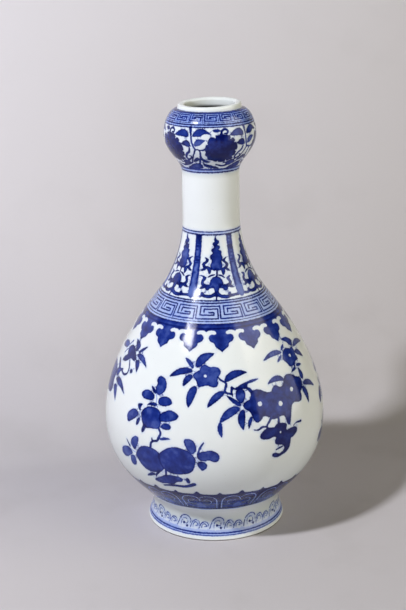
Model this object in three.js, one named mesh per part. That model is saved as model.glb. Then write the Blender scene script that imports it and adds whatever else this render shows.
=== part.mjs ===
// Bottle vase with a garlic mouth, in blue-and-white porcelain.
// The vase is thrown in five sections, and thin rings of slip join them.
// Millimetres, +Z up: the foot rim stands on z = 0 and Z is the axis of the wheel.
import * as THREE from 'three';

// Outer form from the foot up: radii and heights, leans in degrees from upright
const rimRadius = 46;
const rimLean = 20;
const waistRadius = 42.5;
const waistHeight = 12.5;
const bellyRadius = 72.5;
const bellyHeight = 74;
const shoulderRadius = 36.4;
const shoulderHeight = 156;
const shoulderLean = 38.4;
const neckRadius = 18.3;
const neckBottom = 207;
const neckTop = 236;
const bulbRadius = 29.1;
const bulbHeight = 260;
const lipFootRadius = 20.2;
const lipFootHeight = 276;
const lipCrestRadius = 18.6;
const vaseHeight = 280;

// Walls, floor and the hollow under the foot
const bellyWall = 5;
const neckWall = 4.3;
const mouthRadius = 15.7;
const mouthEdgeHeight = 278.3;
const mouthUndercutHeight = 276.5;
const floorHeight = 20.5;
const baseHeight = 14.5;
const baseLean = -100;
const recessRadius = 36;
const recessLean = 32;
const rimInnerRadius = 41.6;
const rimInnerLean = 11;
const rimRound = 0.8;

// How far each turned curve keeps its direction from its lower and its upper end
const footFlarePulls = [5.5, 2];
const footHollowPulls = [4.3, 3];
const rimRoundPulls = [0.45, 0.45];
const haunchPulls = [15.2, 38.9];
const bowlPulls = [40.5, 40];
const basePulls = [12, 10];
const girthPulls = [32.5, 19];
const girthInsidePulls = [32, 16.5];
const napePulls = [19.5, 16];
const napeInsidePulls = [22.5, 17];
const bulbPulls = [7.1, 11];
const bulbInsidePulls = [8.5, 10];
const domePulls = [7.7, 5.2];
const lipOutsidePulls = [2.4, 1];
const lipInsidePulls = [1.9, 0.9];
const undercutPulls = [6, 10.5];

// Slip joints
const slipThickness = 1;
const slipBead = 0.9;

// Fineness of the turned surfaces
const turnSteps = 44;
const sweepSteps = 8;
const shortSteps = 5;
const roundSteps = 3;

// Leans of the level and falling ends of a curve
const levelInwards = 90;
const levelOutwards = -90;
const straightDown = 180;

const glaze = { color: 0xeef1f2, roughness: 0.12, metalness: 0 };
const slip = { color: 0xdedbd2, roughness: 0.6, metalness: 0 };

// A place on the half section: its radius, its height and how far the wall leans inwards
function station(radius, height, leanDegrees = 0) {
  const lean = THREE.MathUtils.degToRad(leanDegrees);
  return {
    point: new THREE.Vector2(radius, height),
    onwards: new THREE.Vector2(-Math.sin(lean), Math.cos(lean)),
    outwards: new THREE.Vector2(Math.cos(lean), Math.sin(lean)),
  };
}

// The same place on the inside of the wall
function inside(place, wall) {
  return { ...place, point: place.point.clone().addScaledVector(place.outwards, -wall) };
}

// A smooth curve from one place to the next, as the turner's rib would follow it
function sweep(from, to, [fromPull, toPull], steps = sweepSteps) {
  const leaving = from.point.clone().addScaledVector(from.onwards, fromPull);
  const arriving = to.point.clone().addScaledVector(to.onwards, -toPull);
  return new THREE.CubicBezierCurve(from.point, leaving, arriving, to.point).getPoints(steps);
}

// Stretches follow each other; a point that two stretches share is kept once
function outline(...stretches) {
  const kept = [];
  for (const point of stretches.flat()) {
    const last = kept[kept.length - 1];
    if (!last || last.distanceTo(point) > 0.01) kept.push(point);
  }
  return kept;
}

// A ring's half section ends where it began
function closed(halfSection) {
  return [...halfSection, halfSection[0].clone()];
}

// Turns a half section about the axis
function turned(name, halfSection, finish) {
  const geometry = new THREE.LatheGeometry(halfSection, turnSteps);
  geometry.rotateX(Math.PI / 2);
  const mesh = new THREE.Mesh(geometry, new THREE.MeshStandardMaterial(finish));
  mesh.name = name;
  return mesh;
}

// The places where sections meet: each joint has a lower and an upper face with slip between
const halfSlip = slipThickness / 2;
const waistBelow = station(waistRadius, waistHeight - halfSlip);
const waistAbove = station(waistRadius, waistHeight + halfSlip);
const girthBelow = station(bellyRadius, bellyHeight - halfSlip);
const girthAbove = station(bellyRadius, bellyHeight + halfSlip);
const neckFootBelow = station(neckRadius, neckBottom - halfSlip);
const neckFootAbove = station(neckRadius, neckBottom + halfSlip);
const neckHeadBelow = station(neckRadius, neckTop - halfSlip);
const neckHeadAbove = station(neckRadius, neckTop + halfSlip);

// Foot: a flared ring on a narrow flat rim, hollow underneath
function footRing() {
  const seam = waistBelow.point.y;
  const outerFoot = station(rimRadius, rimRound, rimLean);
  const innerFoot = station(rimInnerRadius, rimRound, rimInnerLean);
  const recess = station(recessRadius, seam, recessLean);
  const flare = sweep(outerFoot, waistBelow, footFlarePulls, shortSteps);
  const hollow = sweep(innerFoot, recess, footHollowPulls, shortSteps).reverse();
  const outerEdge = sweep(
    station(rimRadius - rimRound, 0, levelOutwards),
    station(rimRadius, rimRound),
    rimRoundPulls,
    roundSteps,
  );
  const innerEdge = sweep(
    station(rimInnerRadius, rimRound, straightDown),
    station(rimInnerRadius + rimRound, 0, levelOutwards),
    rimRoundPulls,
    roundSteps,
  );
  return turned('foot_ring', closed(outline(outerEdge, flare, hollow, innerEdge)), glaze);
}

// Lower belly: a bowl that rises steeply from the waist, thickest round the floor
function lowerBelly() {
  const seam = waistAbove.point.y;
  const baseCentre = station(0, baseHeight, levelOutwards);
  const baseEdge = station(recessRadius, seam, baseLean);
  const floorCentre = station(0, floorHeight, levelOutwards);
  const base = sweep(baseCentre, baseEdge, basePulls, roundSteps);
  const haunch = sweep(waistAbove, girthBelow, haunchPulls);
  const bowl = sweep(floorCentre, inside(girthBelow, bellyWall), bowlPulls).reverse();
  return turned('lower_belly', outline(base, haunch, bowl), glaze);
}

// Upper belly: over the girth to the shoulder, then a hollow sweep up the nape to the neck
function upperBelly() {
  const shoulder = station(shoulderRadius, shoulderHeight, shoulderLean);
  const shoulderInside = inside(shoulder, bellyWall);
  const outer = [
    ...sweep(girthAbove, shoulder, girthPulls),
    ...sweep(shoulder, neckFootBelow, napePulls),
  ];
  const inner = [
    ...sweep(inside(girthAbove, bellyWall), shoulderInside, girthInsidePulls),
    ...sweep(shoulderInside, inside(neckFootBelow, neckWall), napeInsidePulls),
  ];
  return turned('upper_belly', closed(outline(outer, inner.reverse())), glaze);
}

// Neck: a plain tube
function neckTube() {
  const outer = [neckFootAbove.point, neckHeadBelow.point];
  const inner = [inside(neckHeadBelow, neckWall).point, inside(neckFootAbove, neckWall).point];
  return turned('neck', closed(outline(outer, inner)), glaze);
}

// Garlic mouth: a hollow bulb drawn in under a rounded lip
function garlicMouth() {
  const bulb = station(bulbRadius, bulbHeight);
  const domeTop = station(lipFootRadius, lipFootHeight, levelInwards);
  const lipFoot = station(lipFootRadius, lipFootHeight);
  const lipCrest = station(lipCrestRadius, vaseHeight, levelInwards);
  const mouthEdge = station(mouthRadius, mouthEdgeHeight, straightDown);
  const undercut = station(mouthRadius, mouthUndercutHeight, straightDown);
  const bulbInside = inside(bulb, neckWall);
  const bulbInsideFalling = station(bulbInside.point.x, bulbHeight, straightDown);
  const outer = [
    ...sweep(neckHeadAbove, bulb, bulbPulls),
    ...sweep(bulb, domeTop, domePulls),
    ...sweep(lipFoot, lipCrest, lipOutsidePulls, roundSteps),
  ];
  const inner = [
    ...sweep(lipCrest, mouthEdge, lipInsidePulls, roundSteps),
    ...sweep(undercut, bulbInsideFalling, undercutPulls),
    ...sweep(inside(neckHeadAbove, neckWall), bulbInside, bulbInsidePulls).reverse(),
  ];
  return turned('garlic_mouth', closed(outline(outer, inner)), glaze);
}

// Slip ring: flush with the wall outside, with a squeezed-out bead inside
function slipRing(name, outerRadius, innerRadius, height) {
  const low = height - halfSlip;
  const high = height + halfSlip;
  const wall = [new THREE.Vector2(outerRadius, low), new THREE.Vector2(outerRadius, high)];
  const bead = sweep(
    station(innerRadius, high, levelInwards),
    station(innerRadius, low, levelOutwards),
    [slipBead, slipBead],
    roundSteps,
  );
  return turned(name, closed(outline(wall, bead)), slip);
}

const vase = new THREE.Group();
vase.add(
  footRing(),
  slipRing('foot_slip', waistRadius, recessRadius, waistHeight),
  lowerBelly(),
  slipRing('belly_slip', bellyRadius, bellyRadius - bellyWall, bellyHeight),
  upperBelly(),
  slipRing('shoulder_slip', neckRadius, neckRadius - neckWall, neckBottom),
  neckTube(),
  slipRing('neck_slip', neckRadius, neckRadius - neckWall, neckTop),
  garlicMouth(),
);

export default vase;
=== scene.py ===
# %% [markdown]
# # Blue-and-white bottle vase with a garlic mouth
# The vase is porcelain. It was thrown on the wheel in five sections, joined with slip, painted
# with cobalt, and glazed. The CAD model is the fixed frame: each piece made here stands where
# a CAD node stands, in metres, with the foot rim on z = 0 and Z as the axis of the wheel.

# %% Load the frame
import math

import bpy
import numpy as np
from mathutils import Matrix, Vector
from mathutils.geometry import delaunay_2d_cdt


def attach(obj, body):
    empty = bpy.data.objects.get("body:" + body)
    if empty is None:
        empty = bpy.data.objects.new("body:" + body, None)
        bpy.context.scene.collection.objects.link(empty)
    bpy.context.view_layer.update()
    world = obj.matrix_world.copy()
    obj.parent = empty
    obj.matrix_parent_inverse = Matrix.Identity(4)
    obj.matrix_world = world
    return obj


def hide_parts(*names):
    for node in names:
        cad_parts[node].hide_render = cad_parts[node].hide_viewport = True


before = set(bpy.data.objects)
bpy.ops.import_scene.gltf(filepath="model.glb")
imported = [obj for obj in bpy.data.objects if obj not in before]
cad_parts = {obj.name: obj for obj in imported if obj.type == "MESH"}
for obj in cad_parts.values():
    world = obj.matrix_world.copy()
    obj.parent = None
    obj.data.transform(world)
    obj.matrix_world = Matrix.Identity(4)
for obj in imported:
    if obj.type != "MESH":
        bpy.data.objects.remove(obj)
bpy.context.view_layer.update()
bpy.ops.object.select_all(action="DESELECT")
MM = 0.001
print("CAD nodes:", ", ".join(sorted(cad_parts)))

# %% [markdown]
# ## Camera
# The painted rings of the vase are circles, so their ellipses in the photograph tell where the
# camera stood: a little above the mouth, looking down, with a long lens. It comes first,
# because every later step is judged through it. Its angles are in radians.

# %% Camera
photo_high, sensor = 610, 36
focal_pixels = 1338.4
camera_spot = (0, -0.8337, 0.4036)
look_aside, look_down, camera_tilt = -0.0076, 0.2985, -0.0186
ahead = Vector((
    math.sin(look_aside) * math.cos(look_down),
    math.cos(look_aside) * math.cos(look_down),
    -math.sin(look_down),
))
level = Vector((math.cos(look_aside), -math.sin(look_aside), 0))
upright = level.cross(ahead)
across = level * math.cos(camera_tilt) + upright * math.sin(camera_tilt)
over = upright * math.cos(camera_tilt) - level * math.sin(camera_tilt)
bpy.ops.object.camera_add(location=camera_spot)
camera = bpy.context.object
camera.rotation_euler = Matrix((across, over, -ahead)).transposed().to_euler()
camera.data.sensor_width = sensor
camera.data.lens = focal_pixels * sensor / photo_high
bpy.context.scene.camera = camera
bpy.context.scene.view_settings.view_transform = "Standard"
print("lens", round(camera.data.lens, 1), "mm")

# %% [markdown]
# ## Paper sweep
# The vase stands on grey paper that turns up close behind it. The fold shows faintly on both
# sides of the vase, so its line on the floor can be read through the camera. A plane is
# enough: its far edge is pulled up and back by an extrude, and a bevel rounds the fold. A wide
# floor of the same paper lies a hair lower, so that the vase also stands on something when it
# is looked at from behind.

# %% Paper sweep
fold_away, fold_turn = 0.139, math.radians(14.7)
fold_round, fold_segments, on_the_line = 0.035, 12, 1e-4
paper_size, floor_size, floor_gap = 10.0, 30, 0.5 * MM
paper_lean, paper_rise = 1.5, 2.0
onto_fold = Vector((-math.sin(fold_turn), math.cos(fold_turn), 0))
rise_back = onto_fold * paper_lean + Vector((0, 0, paper_rise))


def add_sheet(name, size, location, turn=0.0):
    """A flat square of paper, with its place and turn put into its mesh."""
    bpy.ops.object.select_all(action="DESELECT")
    bpy.ops.mesh.primitive_plane_add(size=size, rotation=(0, 0, turn), location=location)
    sheet = bpy.context.object
    sheet.name = name
    bpy.ops.object.transform_apply(location=True, rotation=True)
    return sheet


def select_edges(thing, wanted):
    """Selects the edges whose two ends both pass the test, and leaves the object in edit mode."""
    bpy.ops.object.mode_set(mode="EDIT")
    bpy.ops.mesh.select_mode(type="EDGE")
    bpy.ops.mesh.select_all(action="DESELECT")
    bpy.ops.object.mode_set(mode="OBJECT")
    for edge in thing.data.edges:
        edge.select = all(wanted(thing.data.vertices[i].co) for i in edge.vertices)
    bpy.ops.object.mode_set(mode="EDIT")


def on_fold(spot):
    return abs(spot.dot(onto_fold) - fold_away) < on_the_line


paper_sweep = add_sheet("paper_sweep", paper_size, onto_fold * (fold_away - paper_size / 2), fold_turn)
select_edges(paper_sweep, on_fold)
bpy.ops.mesh.extrude_region_move(TRANSFORM_OT_translate={"value": rise_back})
select_edges(paper_sweep, on_fold)
bpy.ops.mesh.bevel(offset=fold_round, segments=fold_segments, affect="EDGES")
bpy.ops.object.mode_set(mode="OBJECT")
bpy.ops.object.shade_smooth()
wide_floor = add_sheet("wide_floor", floor_size, (0, 0, -floor_gap))
print("paper sweep:", len(paper_sweep.data.polygons), "faces, normals up:",
      all(face.normal.z > 0 for face in paper_sweep.data.polygons))

# %% [markdown]
# ## Helpers for finishes
# A finish is a small tree of shader nodes. One helper adds a node, sets its values and joins
# its inputs, so that the trees below read from top to bottom. The others name the few nodes
# that come up again and again: a mix of two colours, a sum, a product, a soft step and noise.

# %% Helpers for finishes
def new_finish(name):
    finish = bpy.data.materials.new(name)
    finish.use_nodes = True
    return finish, finish.node_tree, finish.node_tree.nodes["Principled BSDF"]


def add_node(tree, kind, inputs=None, **settings):
    node = tree.nodes.new(kind)
    for key, value in settings.items():
        setattr(node, key, value)
    for key, value in (inputs or {}).items():
        if isinstance(value, bpy.types.NodeSocket):
            tree.links.new(value, node.inputs[key])
        else:
            node.inputs[key].default_value = value
    return node


def tint(red, green, blue):
    """A colour as a screen shows it, 0 to 255, turned into the light that the shader works with."""
    steps = [value / 255 for value in (red, green, blue)]
    return (*[s / 12.92 if s <= 0.04045 else ((s + 0.055) / 1.055) ** 2.4 for s in steps], 1)


def mix_colours(tree, share, first, second, blend_type="MIX"):
    """Sockets 6 and 7 of a Mix node are its two colours, and output 2 is the mixed one."""
    node = add_node(tree, "ShaderNodeMix", {0: share, 6: first, 7: second},
                    data_type="RGBA", blend_type=blend_type)
    return node.outputs[2]


def calculate(tree, operation, first, second):
    return add_node(tree, "ShaderNodeMath", {0: first, 1: second}, operation=operation).outputs[0]


def plus(tree, first, second):
    return calculate(tree, "ADD", first, second)


def minus(tree, first, second):
    return calculate(tree, "SUBTRACT", first, second)


def times(tree, first, second):
    return calculate(tree, "MULTIPLY", first, second)


def fade(tree, value, low, high, to_low=0.0, to_high=1.0):
    """A soft step from to_low to to_high while the value goes from low to high."""
    node = add_node(tree, "ShaderNodeMapRange", {
        "Value": value, "From Min": low, "From Max": high, "To Min": to_low, "To Max": to_high,
    }, interpolation_type="SMOOTHSTEP")
    return node.outputs[0]


def own_space(tree):
    return add_node(tree, "ShaderNodeTexCoord").outputs["Object"]


def mottle(tree, scale, detail=2.0):
    """Cloudy noise in the object's own space, 0 to 1; scale is in patches per metre."""
    noise = add_node(tree, "ShaderNodeTexNoise", {
        "Vector": own_space(tree), "Scale": scale, "Detail": detail})
    return noise.outputs[0]


def read_attribute(tree, name):
    return add_node(tree, "ShaderNodeAttribute", attribute_name=name).outputs["Fac"]


print("helpers for finishes ready")

# %% [markdown]
# ## Paper finish
# The paper is matt and a little stained, and painted light makes its grey lighter up the fold and to the
# left.
# Fine noise gives its grain and coarse noise the stains, which is enough behind a vase. Only its
# upper side is paper: from behind it is clear, so that it never hides the vase.

# %% Paper finish
painted_light_per_metre_up, painted_light_per_metre_left = 2.35, 0.95
paper_finish, tree, shader = new_finish("grey_paper")
grain = mottle(tree, 900)
parts = add_node(tree, "ShaderNodeSeparateXYZ", {0: own_space(tree)}).outputs
# painted light: the grey gets lighter towards the top and the left, where the lamps stand
painted_light = minus(tree, times(tree, parts["Z"], painted_light_per_metre_up),
                times(tree, parts["X"], painted_light_per_metre_left))
paper_grey = mix_colours(tree, grain, tint(200, 195, 200), tint(205, 200, 205))
stains = fade(tree, mottle(tree, 16, 5.0), 0.5, 0.75, 0.0, 0.35)
paper_grey = mix_colours(tree, stains, paper_grey, tint(186, 181, 184))
paper_grey = mix_colours(tree, painted_light, paper_grey, tint(236, 232, 242))
tree.links.new(paper_grey, shader.inputs["Base Color"])
shader.inputs["Roughness"].default_value = 0.9
shader.inputs["Specular IOR Level"].default_value = 0.1
back_side = add_node(tree, "ShaderNodeNewGeometry").outputs["Backfacing"]
clear = add_node(tree, "ShaderNodeBsdfTransparent").outputs[0]
one_sided = add_node(tree, "ShaderNodeMixShader", {0: back_side, 1: shader.outputs[0], 2: clear})
tree.links.new(one_sided.outputs[0], tree.nodes["Material Output"].inputs["Surface"])
for sheet in (paper_sweep, wide_floor):
    sheet.data.materials.append(paper_finish)
print("finish:", paper_finish.name)

# %% [markdown]
# ## Light
# Three lamps light the vase. A small key, high on the left, throws the sharp shadow to the
# right. A weak fill stands in front, and a warm soft box as tall as a window on the right. In
# a glaze each lamp also shows as a mirror image, and here the images need another strength
# than the light, so the gloss doesn't see these three. Four lamps that only the gloss sees
# stand close to them: a glow and a bright core make the narrow streak of the key, and an upper
# and a lower half make the pale window that greys the blue on the right. All are placed by
# their bearing from the vase, which the streak and the edges of the window give.

# %% Light
def lamp_at(name, bearing, height, away, size, watts, colour, aims_level=False, only_gloss=False):
    """A lamp that faces the axis; bearing is in degrees from the front, positive to the right."""
    turn = math.radians(bearing)
    spot = Vector((away * math.sin(turn), -away * math.cos(turn), height))
    bpy.ops.object.light_add(type="AREA", location=spot)
    lamp = bpy.context.object
    lamp.name = name
    lamp.data.shape = "RECTANGLE"
    lamp.data.size, lamp.data.size_y = size
    lamp.data.energy, lamp.data.color = watts, colour
    aim = Vector((0, 0, height if aims_level else mid_height))
    lamp.rotation_euler = (aim - spot).to_track_quat("-Z", "Y").to_euler()
    if only_gloss:
        lamp.visible_diffuse = False
    else:
        lamp.visible_glossy = False


mid_height = 0.14
white, window = (1, 1, 1), (1.18, 0.85)
lamp_at("key", -45, 1.1, 0.955, (0.1, 0.1), 14.8, (0.96, 0.98, 1.0))
lamp_at("front_fill", 4, 0.4, 1.33, (0.5, 0.4), 2.4, (0.97, 0.98, 1.0))
lamp_at("key_glow", -46, 1.2, 0.95, (0.34, 0.5), 3.3, white, only_gloss=True)
lamp_at("key_core", -44, 1.05, 0.95, (0.26, 0.17), 4.7, white, only_gloss=True)
lamp_at("soft_box", 70, 0.93, 1.1, (1.27, 1.5), 8.2, (1.0, 0.95, 0.69), aims_level=True)
lamp_at("box_top", 72.5, 1.275, 1.13, window, 10.8, (1.0, 0.95, 0.82),
        aims_level=True, only_gloss=True)
lamp_at("box_low", 72.5, 0.425, 1.13, window, 5.6, (1.0, 0.96, 0.95),
        aims_level=True, only_gloss=True)
world = bpy.data.worlds.new("studio")
bpy.context.scene.world = world
world.use_nodes = True
room = world.node_tree.nodes["Background"]
room.inputs["Color"].default_value = (1, 0.95, 0.9, 1)
room.inputs["Strength"].default_value = 0.01

# %% [markdown]
# ## Half-section
# Everything on a wheel is a half-section turned about the axis. The outside is a chain of
# smooth curves between a few places, each with its radius, its height and its lean, as the
# CAD source has them. They are in millimetres here, and become metres when a mesh is made.
# The girth is a hundredth of a millimetre smaller than in the CAD model, so that rounding
# can't push the skin out of the CAD box.

# %% Half-section
def place(radius, height, lean=0.0):
    """A point of the half-section and the direction in which the wall goes on from it."""
    lean = math.radians(lean)
    return np.array((radius, height)), np.array((-math.sin(lean), math.cos(lean)))


def sweep(start, end, pulls, steps=60):
    """A smooth curve between two places; each pull is how far it keeps the direction there."""
    t = np.linspace(0, 1, steps + 1)[:, None]
    leaving, arriving = start[0] + start[1] * pulls[0], end[0] - end[1] * pulls[1]
    return ((1 - t) ** 3 * start[0] + 3 * (1 - t) ** 2 * t * leaving
            + 3 * (1 - t) * t ** 2 * arriving + t ** 3 * end[0])


def chain(*stretches):
    """Stretches one after the other; a point that two of them share is kept once."""
    points = np.vstack(stretches)
    fresh = np.r_[True, np.linalg.norm(np.diff(points, axis=0), axis=1) > same_point]
    return points[fresh]


same_point = 1e-4
level_in, level_out, falling, shoulder_lean = 90, -90, 180, 38.4
rim_radius, rim_round, rim_pulls = 46, 0.8, (0.45, 0.45)
waist_radius, girth_radius, neck_radius = 42.5, 72.49, 18.3
waist_joint, girth_joint, neck_foot, neck_head, half_slip = 12.5, 74, 207, 236, 0.5
waist_low, waist_high = waist_joint - half_slip, waist_joint + half_slip
girth_low, girth_high = girth_joint - half_slip, girth_joint + half_slip
nape_end, bulb_start = neck_foot - half_slip, neck_head + half_slip
bulb_radius, bulb_height = 29.1, 260
lip_radius, lip_foot, crest_radius, vase_height = 20.2, 276, 18.6, 280
shoulder, bulb = place(36.4, 156, shoulder_lean), place(bulb_radius, bulb_height)
lip_crest = place(crest_radius, vase_height, level_in)
outside = chain(
    sweep(place(rim_radius - rim_round, 0, level_out), place(rim_radius, rim_round), rim_pulls, 8),
    sweep(place(rim_radius, rim_round, 20), place(waist_radius, waist_low), (5.5, 2)),
    sweep(place(waist_radius, waist_high), place(girth_radius, girth_low), (15.2, 38.9), 200),
    sweep(place(girth_radius, girth_high), shoulder, (32.5, 19), 240),
    sweep(shoulder, place(neck_radius, nape_end), (19.5, 16), 160),
    sweep(place(neck_radius, bulb_start), bulb, (7.1, 11), 100),
    sweep(bulb, place(lip_radius, lip_foot, level_in), (7.7, 5.2), 100),
    sweep(place(lip_radius, lip_foot), lip_crest, (2.4, 1), 30),
)
print("outside:", len(outside), "places, height", outside[-1][1], "mm")

# %% [markdown]
# ## Flat paper for the painting
# A painter thinks of the outside as a sheet rolled round the vase. On the flat sheet one step
# across is an angle, and one step up is the climb divided by the radius. Shapes then keep
# their angles, so a leaf that is drawn on the sheet is the same leaf on the vase. Places are
# written as (degrees round from the front, millimetres above the floor).

# %% Flat paper
full_turn = 2 * math.pi
steps_up = np.diff(outside, axis=0)
step_lengths = np.linalg.norm(steps_up, axis=1)
middle_radii = (outside[1:, 0] + outside[:-1, 0]) / 2
climb = np.r_[0, np.cumsum(step_lengths / middle_radii)]
travel = np.r_[0, np.cumsum(step_lengths)]
facing = np.stack([steps_up[:, 1], -steps_up[:, 0]], 1) / step_lengths[:, None]
facing = np.vstack([facing[:1], facing[1:] + facing[:-1], facing[-1:]])


def rise_to(height):
    """How far up the sheet a height on the vase lies."""
    return np.interp(height, outside[:, 1], climb)


def flat(places):
    places = np.array(places, float)
    return np.stack([np.radians(places[:, 0]), rise_to(places[:, 1])], 1)


def radius_at(rise):
    return np.interp(rise, climb, outside[:, 0])


def run_to(rise):
    """How far along the outside of the vase a place on the sheet lies, in millimetres."""
    return np.interp(rise, climb, travel)


print("sheet:", round(climb[-1], 2), "radians high")

# %% [markdown]
# ## Brush
# Three kinds of mark make the whole decoration: a filled patch, a brush line with a width, and
# a band right round the vase. Each is kept as a short list of places through which a smooth
# line runs; a place that is written twice is a sharp corner. Cobalt is the strong blue, wash
# the thin pale blue, wipe takes cobalt off a wash, and bare leaves the white porcelain. The tone
# of a mark says how much paler it is. A dot is a patch on a small ring.

# %% Brush
stroke_step, marks_per_mm, same_spot = 0.9, 7, 1e-6
round_dot = 10


def through(spots, closed=True):
    """A smooth line through the spots, with a mark about every stroke_step millimetres."""
    count = len(spots)
    marks = []
    for i in range(count if closed else count - 1):
        a, b = spots[i], spots[(i + 1) % count]
        before = spots[i - 1] if closed or i else a
        after = spots[(i + 2) % count] if closed or i + 2 < count else b
        d0, d1, d2 = (np.linalg.norm(q - p) for p, q in ((before, a), (a, b), (b, after)))
        if d1 < same_spot:
            continue
        leave = b - a if d0 < same_spot else (b - before) * d1 / (d0 + d1)
        arrive = b - a if d2 < same_spot else (after - a) * d1 / (d1 + d2)
        parts = max(1, round(d1 * radius_at(a[1]) / stroke_step))
        t = (np.arange(parts) / parts)[:, None]
        marks.append(a * (1 + 2 * t) * (1 - t) ** 2 + leave * t * (1 - t) ** 2
                     + b * t ** 2 * (3 - 2 * t) - arrive * t ** 2 * (1 - t))
    if not closed:
        marks.append(spots[-1:])
    return np.vstack(marks)


def patch(places, kind="cobalt", tone=0.0):
    return kind, through(flat(places)), None, tone


def line(places, widths, kind="cobalt", tone=0.0):
    spine = through(flat(places), closed=False)
    widths = np.atleast_1d(widths).astype(float)
    halves = np.interp(np.linspace(0, 1, len(spine)), np.linspace(0, 1, len(widths)), widths) / 2
    return kind, spine, halves, tone


def ring_round(where, radius, least, notch=None):
    """A small ring; notch gives the share of the radius that it reaches at each angle."""
    centre = flat([where])[0]
    turn = np.linspace(0, full_turn, max(least, round(marks_per_mm * radius)), endpoint=False)
    reach = radius * (notch(turn) if notch else np.ones_like(turn)) / radius_at(centre[1])
    return centre + np.stack([np.cos(turn), np.sin(turn)], 1) * reach[:, None]


def dot(where, radius, kind="bare"):
    return kind, ring_round(where, radius, round_dot), None, 0.0


def band(low, high, kind="cobalt", tone=0.0):
    return kind, flat([(0, low), (0, high)]), "band", tone


painting = []


def repeat(shapes, count=1, first=0.0):
    """Puts the shapes on the vase, count times in equal steps, from the bearing called first."""
    for i in range(count):
        shift = np.array((math.radians(first + 360 * i / count), 0))
        for kind, spots, halves, tone in shapes:
            painting.append((kind, spots + shift, halves, tone))


print("brush ready")

# %% [markdown]
# ## Foot: waves
# Round the foot runs a border of breaking waves in pale wash with thin dark lines: one tall
# curl, then two low ones, twelve times. Under it lie a strong and a weaker line, and the rim
# stays white. All the curls share one outline, which is stretched to its size and place, because
# the painter repeated the same movement of the brush.

# %% Foot: waves
outer_curl = [(-1.1, 0), (-0.9, 0.36), (-0.66, 0.68), (-0.2, 0.95), (0.26, 1), (0.7, 0.86), (0.9, 0.6),
              (0.84, 0.36)]
inner_curl = [(-0.52, 0.1), (-0.46, 0.42), (-0.16, 0.66), (0.22, 0.68), (0.46, 0.48), (0.34, 0.26),
              (0.06, 0.3)]
curl_end = [(0.9, 0.05)]
thin_water, waves_round = 0.68, 12


def wave_curl(centre, foot, crest, spread, tone):
    """One curl of water: an arc from its foot over the crest to the tip, with a smaller one inside."""
    def put(curl):
        return [(centre + aside * spread, foot + (crest - foot) * up) for aside, up in curl]
    outer, inner = put(outer_curl), put(inner_curl)
    return [
        patch(outer + put(curl_end), "wash", thin_water),
        patch(inner, "bare"),
        line(outer, (0.35, 0.55, 0.65, 0.55, 0.4), tone=tone),
        line(inner, (0.3, 0.42, 0.42, 0.32), tone=tone + 0.06),
    ]


repeat([band(7.2, 10.4, "wash", thin_water), band(3.3, 7.2, "wash", 0.12),
        band(4.6, 5.5, tone=0.25), band(3.3, 3.9, tone=0.55)])
tall_curl = wave_curl(1.2, 7.6, 15.6, 6.4, 0.15)
low_curls = wave_curl(11.4, 7.8, 13.1, 4.1, 0.25) + wave_curl(19.4, 7.8, 12.1, 4.1, 0.3)
drops = [dot((0.6, 9.9), 0.6, "cobalt"), dot((3.8, 8.3), 0.55, "cobalt")]
repeat(tall_curl + low_curls + drops, waves_round)
print("foot:", len(painting), "marks")

# %% [markdown]
# ## Lower belly: lotus panels
# Fourteen upright panels stand above the foot, in the darkest blue. In each a thin pale line
# rises, arches twice and meets in the middle, over two scrolls and a paler heart. The pale lines
# are wiped out of the cobalt, because the wash under it shows in them. One arch and one scroll
# are written down, and their mirror images give the others.

# %% Lower belly: lotus panels
def corners(places):
    """Each place twice, so that straight strokes meet in sharp corners."""
    return [spot for spot in places for _ in range(2)]


def mirrored(places):
    return [(-angle, height) for angle, height in places]


panel_top = [(-12.86, 42.9), (-11.2, 41.3), (-6.5, 41.1), (-2.2, 41.6), (-0.2, 43.7), (1.8, 41.6),
             (6.5, 41.1), (11.2, 41.3), (12.86, 42.9)]
half_arch = [(-11.1, 25), (-11.2, 31), (-10.9, 35.3), (-9.2, 37.8), (-5.8, 39), (-2.8, 38.6),
             (-0.6, 37.2), (0.6, 34.6)]
scroll = [(-2.6, 34.6), (-5, 35.4), (-7.2, 34.2), (-7.6, 31.6), (-5.6, 30.2)]
arch_widths, scroll_widths = (0.55, 0.65, 0.55), (0.3, 0.45, 0.35)
panels_round, first_panel, darkest = 14, 15.15, -0.3
lotus_panel = [
    patch(corners([(-12.9, 24), (12.9, 24), (12.86, 42.9)]) + panel_top[-2:0:-1]
          + corners([(-12.86, 42.9)]), tone=darkest),
    patch([(-10, 26), (-10, 30), (-5, 29), (0, 33), (5, 29), (10, 30), (10, 26)], tone=-0.08),
    patch([(-3, 26), (-3, 29), (0, 31.4), (3, 29), (3, 26)], tone=0.25),
    patch([(-11.6, 24.6), (-11.6, 36), (-6, 40), (0, 38), (6, 40), (11.6, 36), (11.6, 24.6)],
          "wash", 0.1),
    line(half_arch, arch_widths, "wipe"),
    line(mirrored(half_arch[:-1]), arch_widths, "wipe"),
    line(scroll, scroll_widths, "wipe"),
    line(mirrored(scroll), scroll_widths, "wipe"),
]
repeat(lotus_panel, panels_round, first_panel)
repeat([band(23.8, 25, tone=darkest)])
print("with lotus panels:", len(painting), "marks")

# %% [markdown]
# ## Brush leaf
# Many leaves are one push of a loaded brush: its tip is set down, spreads, and lifts off again.
# Such a leaf needs only its base, its tip, its width and its bow, so a helper draws it round its
# spine. A blunt leaf is as round at its tip as at its base.

# %% Brush leaf
pointed_peak, least_steps = 0.421, 6


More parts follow.
